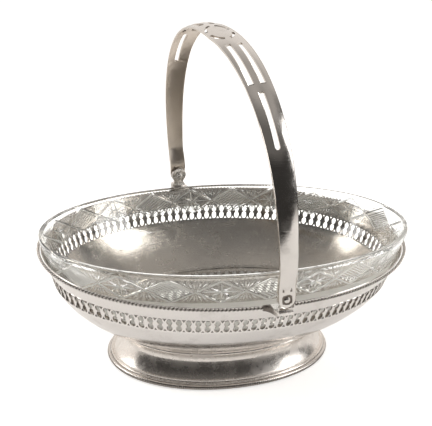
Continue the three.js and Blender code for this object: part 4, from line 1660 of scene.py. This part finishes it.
@dataclass
class Liner:
    """The loose glass liner, which lies a little tilted in the basket.

    Levels are measured from its rim. The belly's painted light, a milky haze on its front side, fades over a
    depth below the band, and over a width from the front to the sides.
    """

    rim: Ring = Ring(150.0, 111.0, 0.0)
    height: float = 112.9
    shift: float = 1.96
    tilt: float = 5.47
    wall: float = 3.6
    edge_depth: float = 3.2
    edge_straight: float = 0.9
    edge_corner: tuple[float, float] = (0.25, 0.3)
    inner_round: float = 0.6
    band_depth: float = 20.0
    band_taper: float = 7.7
    band_steps: int = 6
    base: Ring = Ring(92.0, 62.0, -64.0)
    belly_drop: float = 24.0
    belly_taper: float = 7.3
    belly_steps: int = 22
    floor_extra: float = 1.0
    # Painted light on the belly: milky haze on its front side under the band, fading with depth and sideways.
    belly_painted_light: float = 1.25
    painted_light_depth: float = 24.0
    painted_light_side: float = 40.0
    repeats: int = 11
    parts: int = 24
    parts_turned: int = 22
    facet_angle: float = 13.0
    merge: float = 3e-4

    def __post_init__(self) -> None:
        """Works out the ends of the cut band and its length."""
        self.band_top = self.rim.drawn_in(0.0, -self.edge_depth)
        self.band_foot = self.rim.drawn_in(self.band_taper, self.band_top.height - self.band_depth)
        self.even = EvenRing(self.band_top.toward(self.band_foot, 0.5))

    def profile(self) -> tuple[list[Ring], list[Ring]]:
        """The glass's wall, without the cut band.

        Returns:
            The belly's outer stations from its base up, and the stations over the rim and down the inner side.
        """
        top, foot, flat = self.band_top, self.band_foot, self.edge_straight
        pull = foot.drawn_in(self.belly_taper, foot.height - self.belly_drop)
        belly = bezier(foot, pull, self.base, self.belly_steps)[::-1]
        band = [foot.toward(top, i / self.band_steps) for i in range(1, self.band_steps + 1)]
        corner = self.rim.drawn_in(self.edge_corner[0], -self.edge_corner[1])
        edge = [self.rim.drawn_in(0.0, -flat), corner, self.rim.drawn_in(flat, 0.0)]
        inside = drawn_inside([*belly, *band, edge[0], self.rim], self.wall)
        inside[-1] = Ring(inside[-2].length + self.inner_round, inside[-2].width + self.inner_round, 0.0)
        inside[-2] = Ring(inside[-2].length, inside[-2].width, -flat)
        inside[0] = Ring(inside[0].length, inside[0].width, inside[0].height + self.floor_extra)
        return belly, [top, *edge, *inside[::-1]]

    def cut_band(self) -> Mesh:
        """Cuts the band flat and lays it round the glass.

        Returns:
            The band, in place on the upright glass.
        """
        slant = hypot(self.band_depth, self.band_taper)
        pattern = CutBand(self.even.length / self.repeats / 2, slant, self.parts)
        bm = pattern.tile()
        repeat_along(bm, 2 * pattern.length, self.repeats - 1)
        start = self.parts_turned / (self.repeats * self.parts)
        for vert in bm.verts:
            turn = self.even.turn(vert.co.x / self.even.length + start)
            ring = self.band_foot.toward(self.band_top, vert.co.y / slant + 0.5)
            vert.co = ring.drawn_in(-vert.co.z, ring.height).point(turn)
        return bm

    def mark_haze_and_painted_light(self, bm: Mesh) -> None:
        """Writes the belly's painted light: milky on its front side, and less towards its base.

        Args:
            bm: the belly, before it is drawn out to the oval.
        """
        frost = bm.faces.layers.float.new("frost")
        for face in bm.faces:
            spot = face.calc_center_median()
            high = clamp(2.0 - (self.band_foot.height - spot.z) / self.painted_light_depth)
            face[frost] = high * clamp(-spot.y / self.painted_light_side) * self.belly_painted_light

    def build(self, finish: Material) -> bpy.types.Object:
        """Spins the glass, cuts its band and lays it in the basket.

        Args:
            finish: the cut glass.
        Returns:
            The liner.
        """
        belly, inside = self.profile()
        columns = self.repeats * self.parts
        bm = self.cut_band()
        shell = bmesh.new()
        spin_profile(shell, [belly[0].pole(), *belly], columns)
        self.mark_haze_and_painted_light(shell)
        spin_profile(shell, [*inside, inside[-1].pole()], columns)
        to_oval(shell, self.even.turn)
        join(bm, shell)
        turn_about(bm, -self.tilt, "X")
        move(bm, (0, -self.shift, self.height))
        piece = Piece("cut_glass_liner", Body.LINER, Slot.GLASS, "glass_liner", finish, sharp=self.facet_angle,
                      merge=self.merge)
        return piece.finish(bm)


# The studio


@dataclass(frozen=True)
class SoftBox:
    """A soft lamp that looks at the basket. Its place, width and height are in metres, its power in watts.

    Polished metal and glass show it only if it is mirrored.
    """

    name: str
    spot: Triple
    size: tuple[float, float]
    power: float
    mirrored: bool
    aim_height: float = 0.12

    def hang(self) -> None:
        """Hangs the lamp."""
        data = bpy.data.lights.new(self.name, "AREA")
        data.shape = "RECTANGLE"
        data.size, data.size_y = self.size
        data.energy = self.power
        lamp = link_object(self.name, data)
        lamp.visible_glossy = lamp.visible_transmission = self.mirrored
        way = Vector((0, 0, self.aim_height)) - Vector(self.spot)
        lamp.matrix_world = Matrix.Translation(self.spot) @ way.to_track_quat("-Z", "Y").to_matrix().to_4x4()


SOFT_BOXES = (
    SoftBox("right_box", (0.969, -0.505, 0.653), (0.41, 0.88), 5.2, True),
    SoftBox("side_box", (-1.04, 0.42, 0.67), (0.56, 0.62), 4.2, True),
    SoftBox("left_box", (-0.79, -0.37, 0.97), (0.4, 0.45), 2.0, False),
    SoftBox("top_box", (0.1, 0.5, 2.0), (1.6, 1.2), 6.0, False),
)


@dataclass
class Studio:
    """The pale table, the soft light round it and the camera.

    The camera is given in degrees, millimetres and the photograph's pixels, and the table in metres.
    The world's light goes by height, from level up, on the camera's side and beyond the basket.
    """

    azimuth: float = -21.040
    elevation: float = 22.986
    roll: float = 3.408
    distance: float = 893.35
    focal_pixels: float = 1121.07
    aim_right: float = -8.603
    aim_height: float = 121.524
    sensor: float = 36.0
    table_edge: float = 0.415
    table_turn: float = -38.0
    table_size: float = 7.0
    table_colour: Triple = (0.80, 0.79, 0.775)
    glow_colour: Triple = (1.0, 0.99, 0.975)
    table_glow: float = 0.31
    table_white: float = 0.64
    near_light: tuple[tuple[float, float], ...] = (
        (0.0, 0.04), (0.49, 0.04), (0.60, 0.16), (0.84, 0.16), (0.95, 0.28), (1.0, 0.5))
    far_light: tuple[tuple[float, float], ...] = ((0.0, 0.93), (0.5, 0.9), (0.7, 0.6), (0.87, 0.46), (1.0, 0.5))
    right_light: float = 0.47
    warm: Triple = (1.0, 0.95, 0.90)

    def camera(self) -> None:
        """Stands the camera where the photograph was taken from."""
        turn, rise, roll = radians(self.azimuth), radians(self.elevation), radians(self.roll)
        back = Vector((sin(turn) * cos(rise), -cos(turn) * cos(rise), sin(rise)))
        right = Vector((cos(turn), sin(turn), 0))
        up = back.cross(right)
        x_axis = right * cos(roll) + up * sin(roll)
        y_axis = up * cos(roll) - right * sin(roll)
        aim = Vector((0, 0, self.aim_height)) + right * self.aim_right
        spot = (aim + back * self.distance) * MM
        data = bpy.data.cameras.new("camera")
        data.sensor_fit = "HORIZONTAL"
        data.sensor_width = self.sensor
        data.lens = self.focal_pixels * self.sensor / PHOTO_WIDTH
        data.clip_start = 0.05
        data.clip_end = 60.0
        camera = link_object("camera", data)
        rows = Matrix((x_axis, y_axis, back)).transposed().to_4x4()
        camera.matrix_world = Matrix.Translation(spot) @ rows
        bpy.context.scene.camera = camera

    def seen_by(self, nodes: Nodes) -> tuple[Socket, Socket]:
        """What looks at the world or the table.

        Args:
            nodes: the nodes that ask.
        Returns:
            1 for the camera, also through glass alone; then 1 for what a surface mirrors.
        """
        path = {s.socket.name: s for s in nodes.add("ShaderNodeLightPath")}
        behind = path["Glossy Depth"].least(1.0) * (path["Transmission Depth"] - 2.0).least(1.0).most(0.0)
        white = path["Is Camera Ray"].most(path["Is Transmission Ray"] * (1.0 - behind))
        return white, path["Is Glossy Ray"].most(path["Is Transmission Ray"] * behind)

    def world(self) -> None:
        """White to the camera and through glass, and to metal a studio that is dark behind the camera."""
        world = bpy.data.worlds.new("studio")
        bpy.context.scene.world = world
        nodes = Nodes(world)
        way = nodes.add("ShaderNodeTexCoord")[0]
        right, far, high = nodes.add("ShaderNodeSeparateXYZ", {}, {0: way})
        ramps = []
        for lights in (self.near_light, self.far_light):
            stops = [(place, (light,) * 3) for place, light in lights]
            ramps.append(nodes.add("ShaderNodeValToRGB", {"stops": stops}, {0: high})[0])
        near, beyond = ramps
        near = nodes.colour(right.step(0.15, 0.5) * high.step(0.72, 0.86), near, (self.right_light,) * 3)
        seen = nodes.colour(far.step(0.05, 0.2), near, beyond)
        seen = nodes.colour(1.0, seen, self.warm, "MULTIPLY")
        light = nodes.colour(self.seen_by(nodes)[0], seen, (1.0, 1.0, 1.0))
        glow = nodes.add("ShaderNodeBackground", {}, {"Color": light, "Strength": 1.0})[0]
        nodes.add("ShaderNodeOutputWorld", {}, {"Surface": glow})

    def table(self) -> None:
        """Lays the pale table, which ends a little in front of the basket."""
        bm = bmesh.new()
        bmesh.ops.create_grid(bm, x_segments=1, y_segments=1, size=self.table_size / 2)
        move(bm, (0, self.table_size / 2 - self.table_edge, 0))
        turn_about(bm, self.table_turn, "Z")
        mesh = bpy.data.meshes.new("table")
        bm.to_mesh(mesh)
        bm.free()
        material = bpy.data.materials.new("pale_table")
        nodes = Nodes(material)
        white, glossy = self.seen_by(nodes)
        matt = nodes.add("ShaderNodeBsdfDiffuse", {}, {"Color": self.table_colour})[0]
        strength = white * self.table_white + glossy * self.table_glow
        glow = nodes.add("ShaderNodeEmission", {}, {"Color": self.glow_colour, "Strength": strength})[0]
        shader = nodes.add("ShaderNodeAddShader", {}, {0: matt, 1: glow})[0]
        nodes.add("ShaderNodeOutputMaterial", {}, {"Surface": shader})
        mesh.materials.append(material)
        link_object("table", mesh)

    def build(self) -> None:
        """Sets up the whole studio."""
        self.camera()
        self.world()
        self.table()
        for box in SOFT_BOXES:
            box.hang()
        bpy.context.scene.view_settings.view_transform = "Standard"


# Everything in order


def main() -> None:
    """Builds the basket piece by piece, then the studio."""
    logging.basicConfig(level=logging.INFO, format="%(name)s: %(message)s")
    plate, wire, hinge = PLATE.material(), WIRE_PLATE.material(), HINGE_PLATE.material()
    bowl = Bowl()
    bowl.build(plate)
    for end in (-1, 1):
        bowl.wire(end, wire)
    foot = Foot()
    foot.build(FOOT_PLATE.material())
    foot.border(wire)
    for name, side in (("near", -1), ("far", 1)):
        half = Hinge(name, side)
        half.lug(hinge)
        half.rivet(hinge)
        half.washer(hinge)
    Handle().build(HANDLE_PLATE.material())
    Liner().build(LINER_GLASS.material())
    Studio().build()


if __name__ == "__main__":
    main()
